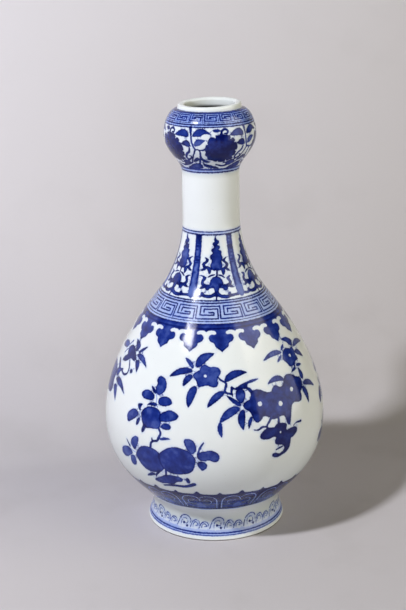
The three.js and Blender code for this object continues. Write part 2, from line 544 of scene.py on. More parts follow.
def leaf(base, tip, width, bow=0.0, blunt=False, tone=0.0, kind="cobalt"):
    """A brush leaf from base to tip; bow bends it to the left of that direction, in mm."""
    start, end = flat([base, tip])
    reach = radius_at((start[1] + end[1]) / 2)
    along = end - start
    length = np.linalg.norm(along)
    left = np.array((-along[1], along[0])) / length
    count = max(least_steps, round(length * reach))
    t = ((1 - np.cos(np.linspace(0, np.pi, count + 1))) / 2)[:, None]
    swell = 2 * np.sqrt(t * (1 - t)) if blunt else t ** 0.5 * (1 - t) ** 0.8 / pointed_peak
    spine = start + along * t + left * 4 * t * (1 - t) * bow / reach
    side = left * swell * width / 2 / reach
    return kind, np.vstack([(spine + side), (spine - side)[-2:0:-1]]), None, tone


print("brush leaf ready")

# %% [markdown]
# ## Fruiting spray: upper fruit
# Three sprays with round fruit go round the belly, one on the lower left of each face. At the top
# of a spray is one fruit among leaves, on a twig that comes up from below. The outlines are drawn
# from the photograph, with a handful of places to each leaf and fruit.

# %% Fruiting spray: upper fruit
upper_fruit = [
    # Leaves at the top
    patch([(-34.2, 114.6), (-33.5, 116.6), (-32, 117.1), (-29.5, 116.1), (-27.8, 113.1),
           (-28, 110.2), (-29.5, 107.8), (-31.5, 106.6), (-33.4, 107.9), (-34, 110.8), (-33.2, 112.6)]),
    leaf((-33.4, 107), (-36.9, 110.6), 1.7),
    patch([(-42.8, 104.9), (-41.5, 106.9), (-38.5, 107.8), (-35.5, 106.9), (-34, 104.9),
           (-35, 102.8), (-38, 102.5), (-41, 102.8)]),
    patch([(-31, 103.1), (-29.8, 105.2), (-26.5, 106.1), (-24, 104.9), (-23, 102.8), (-25, 101.4),
           (-28, 100.6), (-30.5, 101.4)]),
    line([(-33.2, 107.2), (-32.3, 103.7), (-32.3, 99)], 0.9, "wash"),
    leaf((-31.6, 100.5), (-37.5, 99.4), 1.8, -0.6),
    # Upper fruit and the leaves beside it
    patch([(-40.8, 93.1), (-39.5, 96.1), (-37, 98.1), (-34, 98.7), (-30.8, 98.1), (-29, 96.1),
           (-28.2, 92.5), (-28.5, 88.4), (-30, 86.4), (-34, 85.8), (-38, 85.5), (-39.2, 87.8),
           (-40.2, 90.8)]),
    patch([(-28.6, 95.4), (-25.5, 97.8), (-23, 98.4), (-20, 97.2), (-18.8, 95.5), (-20, 93.7),
           (-23, 92.2), (-26, 91.4), (-28.6, 91.7)]),
    patch([(-28, 88.1), (-26.5, 89.9), (-24, 90.2), (-22.5, 88.4), (-23.5, 86.9), (-26.5, 86.9)]),
    patch([(-50.8, 89), (-49.8, 91.6), (-47.2, 94), (-44.8, 94.3), (-42.8, 92.5), (-44.5, 89.6),
           (-47.2, 87.2), (-49.8, 85.5)]),
    patch([(-43.8, 98.2), (-41, 98.8), (-41.8, 97.2), (-41.7, 94.6), (-43.2, 96)]),
    leaf((-41.6, 90.3), (-43.4, 85.2), 2.0, blunt=True),
    leaf((-37.8, 86.5), (-39.2, 81.8), 2.2, blunt=True),
    # Twig from the upper fruit down to the pair
    line([(-29, 86.2), (-28, 83.7), (-29.2, 80.2), (-29.9, 78.5), (-32, 77.8), (-33.5, 76.1),
          (-33.8, 72.5)], (1.4, 1.6, 1.3, 1.7)),
    line([(-33, 79.7), (-32.7, 77.9)], (0.5, 1.3)),
    leaf((-28.2, 79.8), (-22.8, 80.9), 1.4, 0.4, tone=0.3),
]
print("upper fruit:", len(upper_fruit), "marks")

# %% [markdown]
# ## Fruiting spray: pair of fruit
# The twig leads down to two large fruit that lie side by side, with leaves round them. The
# painter didn't space the sprays evenly: the second one lies a little further round, so that
# only its leaf tips show at the right edge of the photograph.

# %% Fruiting spray: pair of fruit
fruit_pair = [
    # Pair of large fruit
    patch([(-43.8, 65.5), (-42.5, 68.4), (-40, 71.6), (-37, 72.8), (-34, 72.8), (-30.5, 71.6),
           (-27.6, 68.6), (-26.4, 64.5), (-27, 60.2), (-28.5, 57.8), (-31.5, 56.1), (-35, 55.5),
           (-38.5, 56.4), (-41, 59), (-43, 62.5)], tone=-0.04),
    patch([(-28.8, 69.6), (-26, 73.1), (-23, 75.2), (-19.8, 76.1), (-16.5, 75.5), (-13.5, 74.3),
           (-11, 71.4), (-9.8, 69), (-10.4, 64.6), (-11.5, 61.1), (-13.5, 59), (-17, 57.8),
           (-21, 57.2), (-24, 57.8), (-27, 60.6), (-28.6, 65)], tone=-0.05),
    # Leaves on the left
    patch([(-47, 72.5), (-46, 75.5), (-43.5, 77.5), (-42, 77.2), (-41.8, 75.5), (-42.8, 71.9),
           (-44.5, 68.4), (-46, 69.6)], tone=0.1),
    line([(-50.6, 73.2), (-48.2, 69.4)], (0.5, 1.5)),
    patch([(-55.8, 61.9), (-55, 65.5), (-52.5, 67.5), (-49, 68.1), (-46.8, 65.5), (-48.5, 63.1),
           (-51.5, 60.8), (-54, 60.2)], tone=0.1),
    patch([(-49, 59), (-48, 62.5), (-45.5, 63.4), (-44.8, 61.4), (-45.2, 57.8), (-47, 56.1),
           (-48.5, 56.6)], tone=0.1),
    line([(-48.5, 68.5), (-46.5, 67), (-44.2, 66.4)], 0.8, "wash"),
    # Leaves on the right
    patch([(-15.2, 81.6), (-13.5, 82.2), (-11, 81.4), (-9.8, 79), (-9.5, 75.5), (-11.2, 72.8),
           (-13.5, 75.5), (-15, 79)], tone=0.1),
    line([(-5.5, 80.5), (-7, 77.8), (-8.8, 72.5)], (0.8, 1.5, 0.8), tone=0.2),
    patch([(-8.8, 70.8), (-7.5, 73.7), (-5, 74.6), (-2, 75.2), (0.8, 73.7), (2, 71.1), (1.2, 68.4),
           (-0.5, 67.8), (-3, 69), (-5.5, 68.4), (-7.5, 69)]),
    patch([(-8.8, 66.6), (-7, 67.8), (-5, 66.9), (-4.2, 64.9), (-5, 62.8), (-6.5, 61.6),
           (-8, 63.7)]),
    # Leaves and twig under the pair
    patch([(-34.2, 49), (-33, 50.8), (-30, 52.5), (-27.5, 54.6), (-24, 55.5), (-20, 55.2),
           (-17.4, 54), (-18, 51.9), (-21, 50.8), (-23, 48.6), (-27, 48.2), (-31, 47.7)]),
    line([(-29.6, 57), (-31.6, 55), (-32.6, 53.2)], (1, 1.6, 1)),
    line([(-25.9, 58.5), (-26.4, 55)], (1.6, 1.2)),
    leaf((-33, 54.2), (-38.8, 50.9), 1.9, -0.5),
    line([(-29.8, 45.8), (-26, 46.9), (-22, 47.5), (-17, 47.7), (-13.5, 49), (-11.4, 50.3)],
         (1.2, 1.9, 2.2, 2.4, 2.9)),
    leaf((-14.2, 50.8), (-14.7, 55), 2.2, blunt=True),
]
for bearing in (0, 125, 240):
    repeat(upper_fruit + fruit_pair, first=bearing)
print("with fruiting sprays:", len(painting), "marks")

# %% [markdown]
# ## Flowering spray: first blossom
# The larger spray begins with a five-petalled blossom on the left, in a ring of leaves, and a
# twig with a bud beside it. The heart of a blossom is left white. Most of the leaves are brush
# leaves, and only a shape that no push of the brush gives is listed as an outline.

# %% Flowering spray: first blossom
first_blossom = [
    # First blossom and the leaves round it
    patch([(-12.3, 119.8), (-10, 122), (-8.5, 122.7), (-7.5, 125), (-5.5, 125.8), (-2.6, 124.5),
           (0.7, 124.5), (2.9, 123.8), (4.1, 122.2), (3.3, 120.4), (2.4, 119), (1.8, 117),
           (2.2, 115.5), (1.2, 113.8), (-1.6, 113.8), (-3.5, 114.6), (-6.2, 114.2), (-8.7, 113.6),
           (-9.4, 115), (-10.5, 117.5)], tone=0.15),
    dot((-5, 119.7), 1.05),
    leaf((-10.7, 124.8), (0.2, 131.9), 5.2, 1.7),
    leaf((-12.6, 123.9), (-18.2, 129), 2.3, -0.4, tone=0.1),
    leaf((-13, 122.4), (-26.6, 118), 3.9, -1.5),
    leaf((-13, 119.9), (-17.7, 113.6), 3.6, -0.7),
    leaf((-10.5, 113.8), (-13.8, 101.6), 4.9, -0.9),
    # Twig on the right of it, with a bud and its leaves
    leaf((6.3, 116.8), (19.8, 120.4), 4.4, 1.9),
    line([(2.6, 119), (3.6, 117.6), (6.8, 115.3), (6, 110.7), (9.6, 109)], (0.9, 1.3, 1.5, 1.4, 1.2)),
    leaf((5.2, 110.7), (-3.6, 102), 4.0, -0.9),
    line([(10, 112.7), (9.6, 110.3), (9.9, 108.8)], (1.8, 1.5, 1.0)),
    patch([(10, 112.9), (11.6, 112.2), (13.6, 113), (16, 114.1), (19, 114.8), (18.7, 112.4),
           (20.6, 111), (21.4, 109.2), (20.4, 108.6), (18.6, 111), (16.2, 111.6), (13.6, 111.7),
           (12, 111.3)]),
    patch([(14.4, 103.4), (12.4, 105.8), (11.8, 108.2), (12.6, 110.8), (14.4, 111.6), (16.4, 110.6),
           (16.9, 108), (16.2, 105.6)]),
    leaf((18.6, 114.4), (26, 115.8), 1.3, 0.2, tone=0.25),
    # Leaves on the left of the cluster
    leaf((14, 102.2), (7, 108.2), 2.3, 0.2),
    leaf((13, 100.9), (2.5, 92.8), 5.0, -1.3),
    leaf((2.7, 92.8), (3.4, 84), 2.7, -0.5, tone=0.15),
    leaf((14.8, 99.3), (14.4, 87.6), 4.4, -1.1),
    leaf((19.2, 94.8), (17.2, 88), 2.0, -0.3),
]
print("first blossom:", len(first_blossom), "marks")

# %% [markdown]
# ## Flowering spray: cluster
# In the middle three blossoms overlap, and a single one stands above them on the right. The
# painter filled the cluster as one dark shape, in which the petals are told apart by their tone
# and a faint line. So it is one patch here too, with a notched ring on it for each blossom.

# %% Flowering spray: cluster
notched_ring, petal_depth = 30, 0.2


def rosette(where, radius, petals, turn, tone):
    """Notched petals inside a blossom, told apart by their tone and a faint line."""
    def notch(angle):
        return 1 - petal_depth + petal_depth * np.abs(np.cos(petals * angle / 2 + math.radians(turn)))
    return "petals", ring_round(where, radius, notched_ring, notch), None, tone


cluster = [
    # Cluster of three blossoms
    patch(corners([(15.2, 102)]) + [(16.7, 103.8), (19.2, 104.9), (20, 106.5), (20.7, 108.5), (23.6, 110),
          (26.1, 109.3), (28.3, 108), (30, 107.1), (32.8, 107), (34, 108.7), (36.1, 110), (37.8, 109),
          (39.4, 108.2), (41.7, 109), (43.9, 112.4), (46.1, 113.7), (48.9, 113.4), (51.1, 112.4),
          (52.8, 110.9), (55, 110), (57.2, 108.4), (57.5, 105.9), (55.8, 102.8), (53.9, 101.5),
          (53.6, 99), (52.5, 96.5), (50, 96.2), (46.7, 97.1), (44.7, 96.2), (43.6, 94), (42.8, 90.9),
          (41.9, 87.8), (41.1, 84.9), (39.7, 85.6), (38.9, 89.6), (37.8, 91.5), (35, 91.5),
          (31.1, 90.9), (29.2, 92.4), (27.2, 93.7), (25.6, 94), (24.2, 92.1), (21.9, 90.9),
          (20.3, 92.8), (19.2, 96.5), (18.3, 98.1), (16.1, 99.9)], tone=-0.12),
    rosette((24.4, 101.2), 6.6, 5, 20, -0.14),
    rosette((47.2, 104.6), 6.9, 5, 50, -0.1),
    rosette((37, 98.7), 7.2, 5, 90, -0.12),
    dot((24.6, 101.5), 1.6),
    dot((37.05, 98.9), 1.7),
    dot((47.05, 104.8), 1.5),
    leaf((43.4, 111.8), (31.8, 111.8), 3.3, -2.0, tone=0.05),
    # Blossom on the upper right and the leaves round it
    patch([(48.3, 122.1), (48.9, 124), (51.1, 126.2), (53.9, 127.4), (57.2, 126.8), (59.2, 126),
           (61.7, 126.6), (62.5, 124), (61.9, 121.5), (62.5, 119), (58.9, 118.7), (57.2, 117.2),
           (54.4, 117.1), (51.7, 117.4), (50.8, 119.3), (49.7, 120.9)], tone=0.02),
    dot((55.8, 122.9), 1.1),
    patch(corners([(54.5, 133)]) + [(60, 132.8), (63.6, 131.2), (65.4, 129.6), (62.4, 127),
          (60.3, 128.6), (58.3, 130.8), (56.1, 131.8)]),
    leaf((49, 126.6), (33.2, 125), 3.0, -1.7, tone=0.05),
    leaf((50.2, 127.6), (54, 130), 1.3, 0.2, tone=0.3),
    leaf((48, 124.9), (43, 122.1), 1.5, tone=0.2),
    leaf((64.6, 126.6), (80.5, 124.8), 3.2, 1.7, tone=0.15),
    leaf((63, 123.2), (70.3, 118.2), 3.5, 1.1),
    # Twig between it and the cluster, with its leaves
    line([(57, 118), (55.8, 115.4), (54, 114.4)], (1.2, 1.5, 1.1)),
    leaf((56.2, 114.8), (51.6, 114), 1.4, -0.5),
    leaf((58, 116), (63.5, 115.3), 1.6, 0.3),
    patch([(58.9, 114.4), (60.3, 112.4), (61.1, 110), (59.7, 107.4), (57.8, 109), (58.1, 111.8)]),
    leaf((58.4, 104.8), (69.8, 99.3), 3.4, 1.5),
    leaf((56.6, 103.4), (58.9, 92.6), 3.9, 1.1),
]
print("cluster:", len(cluster), "marks")

# %% [markdown]
# ## Flowering spray: low blossom
# Short stems lead down from the cluster to a low blossom with a curled tail. It is the darkest
# patch of the spray, so its petals hardly show: one notched ring and a small white heart are
# enough.

# %% Flowering spray: low blossom
low_blossom = [
    # Stems from the cluster to the low blossom and its bud
    line([(30.4, 92.8), (28.5, 89.8), (27.2, 87.9), (27.2, 86.1)], (1.6, 1.7, 1.2, 0.9)),
    line([(19.9, 86.5), (22.1, 86.1), (24.2, 87.3), (26.7, 87.1), (27.8, 85.6)], (0.5, 1.1, 1.4, 1.2, 1)),
    line([(34.5, 92), (34, 86.8)], (1.5, 1.9)),
    patch([(23, 81.9), (24.3, 84.1), (26.6, 85.8), (29.2, 85.8), (31.3, 85.6), (32.5, 87), (34.5, 87.2),
           (37.3, 86.6), (39, 85.2), (38.3, 83.1)] + corners([(38.5, 81.4)]) + [(40.6, 82), (43.3, 82.1),
           (45.5, 81.3), (45.8, 79.8), (45, 78.1), (43, 76.5), (41.1, 75.7), (40.7, 73), (40, 69.8),
           (38, 67.4), (35.3, 66.2), (32.5, 65.5), (29.7, 66.9), (29.7, 68.3), (31.5, 68.5), (33.9, 67.4),
           (36.1, 68.7), (36.9, 70.7), (36, 72.7), (35.1, 73.4), (33.1, 73.9), (31.3, 75.4), (31.3, 77.4),
           (32, 78.9), (30.5, 80), (28.2, 79.3), (25.6, 79.4), (23.6, 80.2)], tone=-0.26),
    rosette((34.4, 81.4), 4.4, 5, 30, -0.24),
    dot((34.6, 81.7), 0.75),
    line([(31.8, 70.8), (33.9, 71.5), (35.7, 71.9)], (0.8, 1.3, 0.9)),
    line([(43.6, 83.2), (45.3, 84.2), (49.3, 84)], (0.4, 1.0, 1.5)),
]
print("low blossom:", len(low_blossom), "marks")

# %% [markdown]
# ## Flowering spray: left edge
# The painter didn't repeat the spray exactly. What shows of its end at the left edge of the
# photograph is drawn by itself, and two whole sprays go on from the front to the right. The
# sprays are put on the vase in this step, when all their parts are there.

# %% Flowering spray: left edge
left_face = [
    # Blossom at the left edge and the leaves round it
    patch([(-70.4, 123.4), (-70.8, 125.2), (-67.5, 127.6), (-62.6, 127), (-59.5, 124.5), (-56.7, 122),
           (-57.9, 120.5), (-62, 121), (-63.9, 120), (-68.1, 117.5), (-72.7, 117.2), (-71.3, 119.6),
           (-68.6, 121.7)], tone=-0.18),
    patch([(-85.4, 123.1), (-85, 125.5), (-77.7, 127.6), (-73.3, 126.4), (-76, 124.1)]),
    line([(-72.6, 126.8), (-69.6, 129.8)], (0.8, 1.2), tone=0.2),
    line([(-74.9, 121), (-72.5, 123.7)], (0.6, 1.0), tone=0.2),
    patch([(-59.8, 125.8), (-61.9, 127.7)] + corners([(-65.4, 131.9)]) + [(-60.4, 131.1), (-57.8, 129.4),
          (-58.4, 127.2)]),
    leaf((-56.6, 125.9), (-50.2, 130.5), 1.7),
    patch([(-57.2, 124.4), (-53.3, 125.6), (-49.1, 124.3)] + corners([(-45, 119.8)]) + [(-49, 121.6),
          (-52.7, 122.6), (-55, 123.4)]),
    patch([(-56.1, 121.2), (-52.9, 121.6), (-51.5, 118.7)] + corners([(-51.9, 115.2)]) + [(-54.4, 118)]),
    # Twig down to the lower leaves, and the blossom behind them
    line([(-63.1, 119.6), (-60.2, 115.4), (-60.5, 112), (-63.6, 110.5), (-67.9, 111.6)],
         (1.0, 1.2, 1.4, 1.3)),
    dot((-57, 114.4), 1.3, "cobalt"),
    leaf((-70.4, 110.9), (-78.8, 116.4), 2.2, blunt=True),
    patch([(-75.4, 110.2), (-71, 111.8), (-66.6, 112.8), (-69.3, 110.7), (-70.5, 108), (-72.5, 106.6),
           (-74.8, 108.4)]),
    patch([(-86, 112.6), (-78.6, 111.2), (-74.5, 107.5), (-74.9, 103.3), (-73.6, 99.7), (-74.6, 95.5),
           (-82, 94), (-93, 97), (-97, 104), (-93, 110)], tone=-0.05),
    patch([(-71.9, 100.7), (-68.4, 101.9), (-66.4, 99)] + corners([(-65.6, 93)]) + [(-69, 96.5)]),
    patch([(-71.6, 105.2), (-67.5, 107.2), (-61.9, 105.1)] + corners([(-57.5, 100.2)]) + [(-62.5, 102.4),
          (-67.8, 103.4)]),
]
repeat(first_blossom, 3)
for bearing in (0, 120):
    repeat(cluster + low_blossom, first=bearing)
repeat(left_face)
print("with flowering sprays:", len(painting), "marks")

# %% [markdown]
# ## Shoulder: hanging heads
# A solid blue band carries sixteen hanging trefoil heads. Between two heads the white climbs into
# the band and curls to both sides. It is easier to paint the band and the heads first, and to
# take the white off again, than to follow the edge of the blue all round.

# %% Shoulder: hanging heads
half_head = [(-9.6, 142.4), (-9.3, 140.3), (-8, 138.6), (-5.2, 137.5), (-4.4, 135.7), (-2.2, 134.4)]
half_gap = [(0, 143.5), (1.2, 144), (3.4, 144.3), (5.8, 144.1), (7.4, 143.4), (7.6, 142.5), (6.4, 141.9),
            (4.6, 142.2), (3, 141.8), (2.1, 140.8), (1.9, 139.8)]
head = [patch(corners([(-9.6, 145)]) + half_head + corners([(0, 132.8)]) + mirrored(half_head[::-1])
              + corners([(9.6, 145)]))]
gap = [patch(half_gap + [(2.6, 138.6), (-2.6, 138.6)] + mirrored(half_gap[:0:-1]), "bare")]
heads_round, first_head, first_gap = 16, 6, 17.25
repeat([band(142.4, 147.8)])
repeat(head, heads_round, first_head)
repeat(gap, heads_round, first_gap)
print("with hanging heads:", len(painting), "marks")

# %% [markdown]
# ## Shoulder: square spirals
# Above the heads runs a key border of square spirals, in dark lines on a pale wash. One stroke
# winds out of a spiral, turns, and winds into the next, so a single route that is repeated
# sixteen times draws the whole border.

# %% Shoulder: square spirals
def key_stroke(pitch, low, high, width, kind):
    """One stroke of the key border: out of one square spiral and into the next."""
    route = [(0.53, 0.5), (0.733, 0.5), (0.733, 0.3), (0.16, 0.3), (0.16, 1), (1, 1), (1, 0),
             (1.9, 0), (1.9, 0.78), (1.32, 0.78), (1.32, 0.56)]
    spots = [(pitch * along, low + (high - low) * up) for along, up in route]
    return line(corners(spots), width, kind, tone=0.1)


repeat([band(147.8, 160.4, "wash", 0.2), band(148.8, 149.2), band(158.3, 159.0), band(159.6, 160.3)])
keys_round, first_key = 16, 7
repeat([key_stroke(360 / keys_round, 150.4, 157, 0.85, "cobalt")], keys_round, first_key)
print("with square spirals:", len(painting), "marks")

# %% [markdown]
# ## Nape: stiff panels
# Six long panels rise to the neck. Broad bars part them, and in each stands a tiered tree over
# a round blossom with cloud curls. A scalloped line closes the panel below. The two sides of the
# painted panel differ a little, so both are written down, and only the bars use a mirror image.

# %% Nape: stiff panels
tree_right = [(9, 195.7), (13, 194.6), (13, 193.5), (9.5, 192.3), (14, 191.6), (14.2, 190.4), (11.4, 189.3),
              (16.6, 188.3), (16.3, 187), (15, 186.2), (17.6, 184.9), (16.7, 183.4), (14.7, 182.4),
              (15.9, 180.6), (15.3, 178.9), (12.7, 177.3)]
tree_left = [(5.4, 195.9), (5.8, 194.3), (2.4, 193.7), (2.1, 192.5), (5.1, 190.8), (0.3, 190),
             (-0.6, 188.9), (2.5, 187.5), (-1.7, 186.2), (-2.9, 184.9), (0.3, 182.7), (-1.8, 180.9),
             (-2.2, 179.2), (0.4, 177.5)]
horn_widths = (0.7, 1.8, 1.5, 2.0, 1.7, 1.9, 2.7, 1.4)
cloud_widths = (0.8, 2.0, 1.8, 2.1, 2.3, 2.7, 2.6)
horns = [line([(-11, 184.6), (-7, 183.3), (-9.7, 181.9), (-13.4, 180.7), (-11.6, 179.1), (-7.2, 178.8),
               (-4.1, 177.8), (-4.1, 175.8)], horn_widths),
         line([(23.4, 184.3), (19.4, 182.9), (21.6, 181.6), (24.1, 180.2), (21.4, 178.5), (17.8, 177.8),
               (16.5, 176.4), (16.2, 174.6)], horn_widths),
         leaf((-9.4, 178.6), (-15.8, 176.9), 1.3), leaf((21, 178), (26.9, 176.3), 1.3)]
clouds = [line([(-13.7, 173.8), (-10.2, 172.7), (-12.6, 171.2), (-13.5, 170.1), (-11.6, 168.7),
                (-7.6, 167.9), (-2.5, 167.8)], cloud_widths),
          line([(25.4, 173.4), (21.7, 172.2), (23.8, 170.8), (24.3, 169.7), (21.6, 168.2),
                (17.3, 167.7), (12.4, 167.6)], cloud_widths),
          leaf((-9.6, 167.9), (-16, 166.6), 1.4), leaf((20.4, 168), (27.5, 166.8), 1.4),
          dot((-6.5, 166.9), 1.2, "cobalt"), dot((16.5, 166.5), 1.35, "cobalt")]
sill = [line([(-21, 162.7), (-15, 162.3), (-12.2, 163), (-8.6, 162.5), (-4, 162.3), (0, 162.8), (3.8, 164)],
             (1.9, 1.6, 1.8, 2.1, 2.3, 2.2, 2)),
        line([(6, 164), (9.1, 162.5), (14, 161.9), (18.8, 162), (22.4, 162.3), (31, 162.6)],
             (2, 2.2, 2.4, 2.1, 1.6, 1.9)),
        dot((-12.3, 163.8), 0.9, "cobalt"), dot((20.3, 163.4), 0.9, "cobalt")]
panel_motif = [
    patch(corners([(6.9, 197.8)]) + tree_right + tree_left[::-1], tone=0.02),
    line([(7.2, 177.8), (7, 175.8), (6.4, 173.4)], (1.4, 1.0, 1.0)),
    line([(-5.9, 173.2), (-1.8, 174.1), (2.9, 174.5)], (0.6, 1.2, 0.7)),
    line([(9.1, 174.4), (13, 173.8), (16.9, 172.7)], (0.7, 1.2, 0.6)),
    patch([(-3.1, 168.4), (-3.1, 170.1), (-1.2, 171.9), (1.8, 173), (5.6, 173.4), (9.8, 172.8),
           (12.6, 171.6), (13.8, 169.9), (13, 168.1), (8.9, 167), (5.1, 166.8), (0.7, 167.2)], tone=0.08),
    line([(5.2, 167.3), (5.1, 165.5), (4.8, 163.2)], (3.8, 2.5, 3.2)),
    line([(4.8, 163), (4.4, 161.5), (4.2, 159.8)], (1.6, 0.9, 0.8)),
] + horns + clouds + sill
bar = [patch(corners([(-5.6, 198.8), (5.6, 198.8)]) + [(5.3, 185), (5, 168), (3.6, 163), (0, 161.2),
             (-3.6, 163), (-5, 168), (-5.3, 185)], tone=0.42)]
bar_edge = [(-5.2, 198.4), (-5, 185), (-4.7, 168)]
bar += [line(edge, 0.5, tone=0.14) for edge in (bar_edge, mirrored(bar_edge))]
bars_round, first_bar = 6, 35
repeat(panel_motif, bars_round)
repeat(bar, bars_round, first_bar)
repeat([band(198.2, 199.1), band(200.1, 200.8, tone=0.15), band(199.1, 200.1, "wash", 0.3)])
print("with the stiff panels:", len(painting), "marks")

# %% [markdown]
# ## Bulb: blossoms
# Five big round blossoms stand round the bulb. Each is one dark patch with petals of several
# tones on it, and small white notches cut into its outline. They are bare brush leaves.

# %% Bulb: blossoms
blossom = [
    patch([(-6.1, 255.2), (-4.3, 257.5), (-2.5, 259.1), (-0.8, 261.2), (1.9, 261.9), (5.8, 261.8), (7.3, 263),
           (11.6, 263.1), (14.1, 263.5), (19.1, 263.1), (23.3, 262.7), (25.8, 261.2), (29.5, 260.7),
           (31.1, 259.1), (33.7, 257.5), (35.7, 255.5), (35.4, 253.2), (35, 250.9), (32.7, 249.3),
           (33.8, 247.8), (27.5, 246.6), (21.4, 245.8), (13.3, 245.8), (7, 246.3), (1.7, 247.2),
           (-2.8, 247.5), (-4, 249.5), (-3.2, 251.6), (-5.7, 253.1)], tone=-0.22),
    rosette((3, 257.4), 3.6, 4, 10, -0.08),
    rosette((27, 257.4), 3.5, 4, 50, -0.26),
    rosette((11, 260), 3.2, 4, 90, -0.1),
    rosette((20, 259.8), 3.1, 4, 20, -0.2),
    rosette((1.5, 251.4), 3.4, 4, 20, -0.18),
    rosette((29, 251.6), 3.4, 4, 70, -0.26),
    rosette((9, 248.9), 3.2, 4, 40, -0.22),
    rosette((20.5, 248.7), 3.3, 4, 0, -0.26),
    rosette((10.2, 254.2), 3.3, 4, 15, -0.14),
    rosette((20, 254), 3.5, 5, 30, -0.2),
    # Bud and curl above the blossom
    line([(14.1, 265.7), (13.4, 263)], (0.9, 1.6)),
    patch([(3.6, 266.1), (6.8, 266.7), (11.3, 266.3), (12.5, 265.6), (9.4, 265), (5.6, 265.3)]),
    line([(14.6, 264.6), (15.8, 266.1), (19.3, 266.6), (22.5, 265.5), (21.7, 264.2), (18.6, 264)],
         (1.0, 1.2, 1.4, 1.3, 1.1, 0.8)),
]
notches = [leaf(outer, inner, 0.9, kind="bare") for outer, inner in (
    ((-6, 258.6), (-2.6, 257.6)), ((5.6, 263.6), (6.2, 261.2)), ((27.2, 262.4), (25.4, 260.3)),
    ((34, 260), (30.6, 258.3)), ((37.6, 252.8), (33.4, 252.8)), ((34.6, 248.4), (31.2, 249.3)),
    ((24.2, 244.8), (23.2, 247)), ((10, 244.6), (10.8, 246.8)))]
print("blossom:", len(blossom), "marks,", len(notches), "notches")

# %% [markdown]
# ## Bulb: leaves
# Leaves on curling stems fill the room between two blossoms. They are outlined like the sprays
# on the belly, and blossom and leaves go round the bulb together.

# %% Bulb: leaves
foliage = [
    # Upper leaves and the stem between them
    patch(corners([(-47.7, 262.8)]) + [(-42.8, 264.8), (-38.4, 266), (-33.1, 266.4), (-29.2, 265.3),
          (-27.3, 263.5), (-28.8, 262), (-34.6, 262.4), (-41.7, 262.5)], tone=0.04),
    patch([(-21.6, 262.7), (-19.9, 264.6), (-16.5, 266.2), (-12.3, 267), (-7.2, 266.7), (-3, 265.4)]
          + corners([(1.4, 263.7)]) + [(-4.8, 264.3), (-8.6, 263.9), (-11.6, 262.7), (-17, 262.6)],
          tone=0.06),
    line([(-25, 267.7), (-24.3, 265.7), (-23.7, 262.8)], (1.9, 1.5, 0.9)),
    line([(-23.7, 262.8), (-23.1, 259.7), (-21.3, 256.5), (-19.2, 254.4)], (0.9, 1.1, 1.2, 1.0), tone=0.25),
    # Middle leaves and curling stems
    patch(corners([(-37.5, 257.6)]) + [(-33.9, 259.1), (-29.5, 260), (-26.2, 258.8)]
          + corners([(-24.9, 256.4)]) + [(-29.6, 256.1), (-33.6, 256.9)]),
    patch([(-19.4, 256.8), (-18.8, 258.8), (-16.4, 260.3), (-12.1, 260.7)] + corners([(-5.8, 260.2)])
          + [(-9, 259), (-12.3, 257.5), (-16.1, 256.8)], tone=0.24),
    line([(-19.2, 254.4), (-21.2, 252.1), (-24.2, 249.5), (-28.1, 246.2)], (1.0, 0.9, 0.9, 1.0), tone=0.05),
    line([(-19.2, 254.4), (-14.6, 254.1), (-12.9, 252.2), (-14, 248.7), (-16.8, 244.3)],
         (0.9, 1.0, 1.1, 1.2, 1.2), tone=0.15),
    line([(-14.6, 254.1), (-9.7, 253.9), (-4.5, 255.1)], (0.7, 1.0, 1.2), tone=0.05),
    line([(-26.5, 255.5), (-27.8, 253), (-32.5, 251), (-35.5, 248.7), (-33.3, 247.4), (-28.1, 248.4),
          (-26.9, 249.9), (-29.3, 250)], (1.0, 1.4, 1.5, 1.5, 1.4, 1.1, 0.9, 0.7)),
    line([(-1.6, 252.7), (-4.9, 252.3), (-5.9, 250.8), (-4.2, 249.8)], (1.2, 1.0, 0.9, 0.6)),
    # Low leaves and the stems under the blossom
    patch([(-26, 245.8), (-22.2, 247.8), (-17.4, 248.9), (-16.6, 247.8), (-20.2, 246.3)]),
    patch([(-12.4, 249.9), (-10.5, 248), (-6.4, 247.1), (-1.4, 245.6), (-7.7, 245.6), (-12, 246.6),
           (-13.3, 248.3)]),
    patch([(-42.2, 240.9), (-32.9, 243.1), (-23.9, 244.5), (-17, 244.5), (-13.8, 243.3), (-13, 241.7),
           (-26.1, 241.1)], tone=-0.05),
    patch([(-11.5, 244.8), (-7.2, 244.1), (-0.7, 243.5), (6.1, 242.5), (14.5, 241.3), (2.7, 241.4),
           (-6, 242.1), (-10, 243.2)], tone=-0.05),
    patch([(-44.3, 245.9), (-37.6, 246.7), (-32.9, 246), (-31.7, 244.6), (-39.3, 243.2), (-46.1, 243.2)]),
    line([(9.2, 243.9), (20.1, 242.8), (32.5, 243.7), (42, 245)], (0.9, 1.4, 1.6, 1.2)),
    line([(21, 244.9), (33.6, 245.7), (43.1, 248.1)], (0.8, 1.4, 1.2)),
]
blossoms_round = 5
repeat(blossom + notches + foliage, blossoms_round)
print("with the bulb:", len(painting), "marks")

# %% [markdown]
# ## Bulb: borders
# Two lines with a wash between them close the bulb below. Under the white lip lies a dark border
# with pale square spirals. The stroke of the shoulder serves again, but here it is wiped out of
# the cobalt.

# %% Bulb: borders
lip_keys_round, first_lip_key = 17, 12.6
repeat([band(237.8, 238.7), band(239.7, 240.9, tone=0.2), band(238.7, 239.7, "wash")])
repeat([band(267.7, 276, "wash"), band(267.6, 268.3), band(269, 269.8), band(270.3, 276, tone=-0.1)])
lip_key = key_stroke(360 / lip_keys_round, 270.9, 275.1, 0.52, "wipe")
repeat([lip_key], lip_keys_round, first_lip_key)
print("whole painting:", len(painting), "marks")

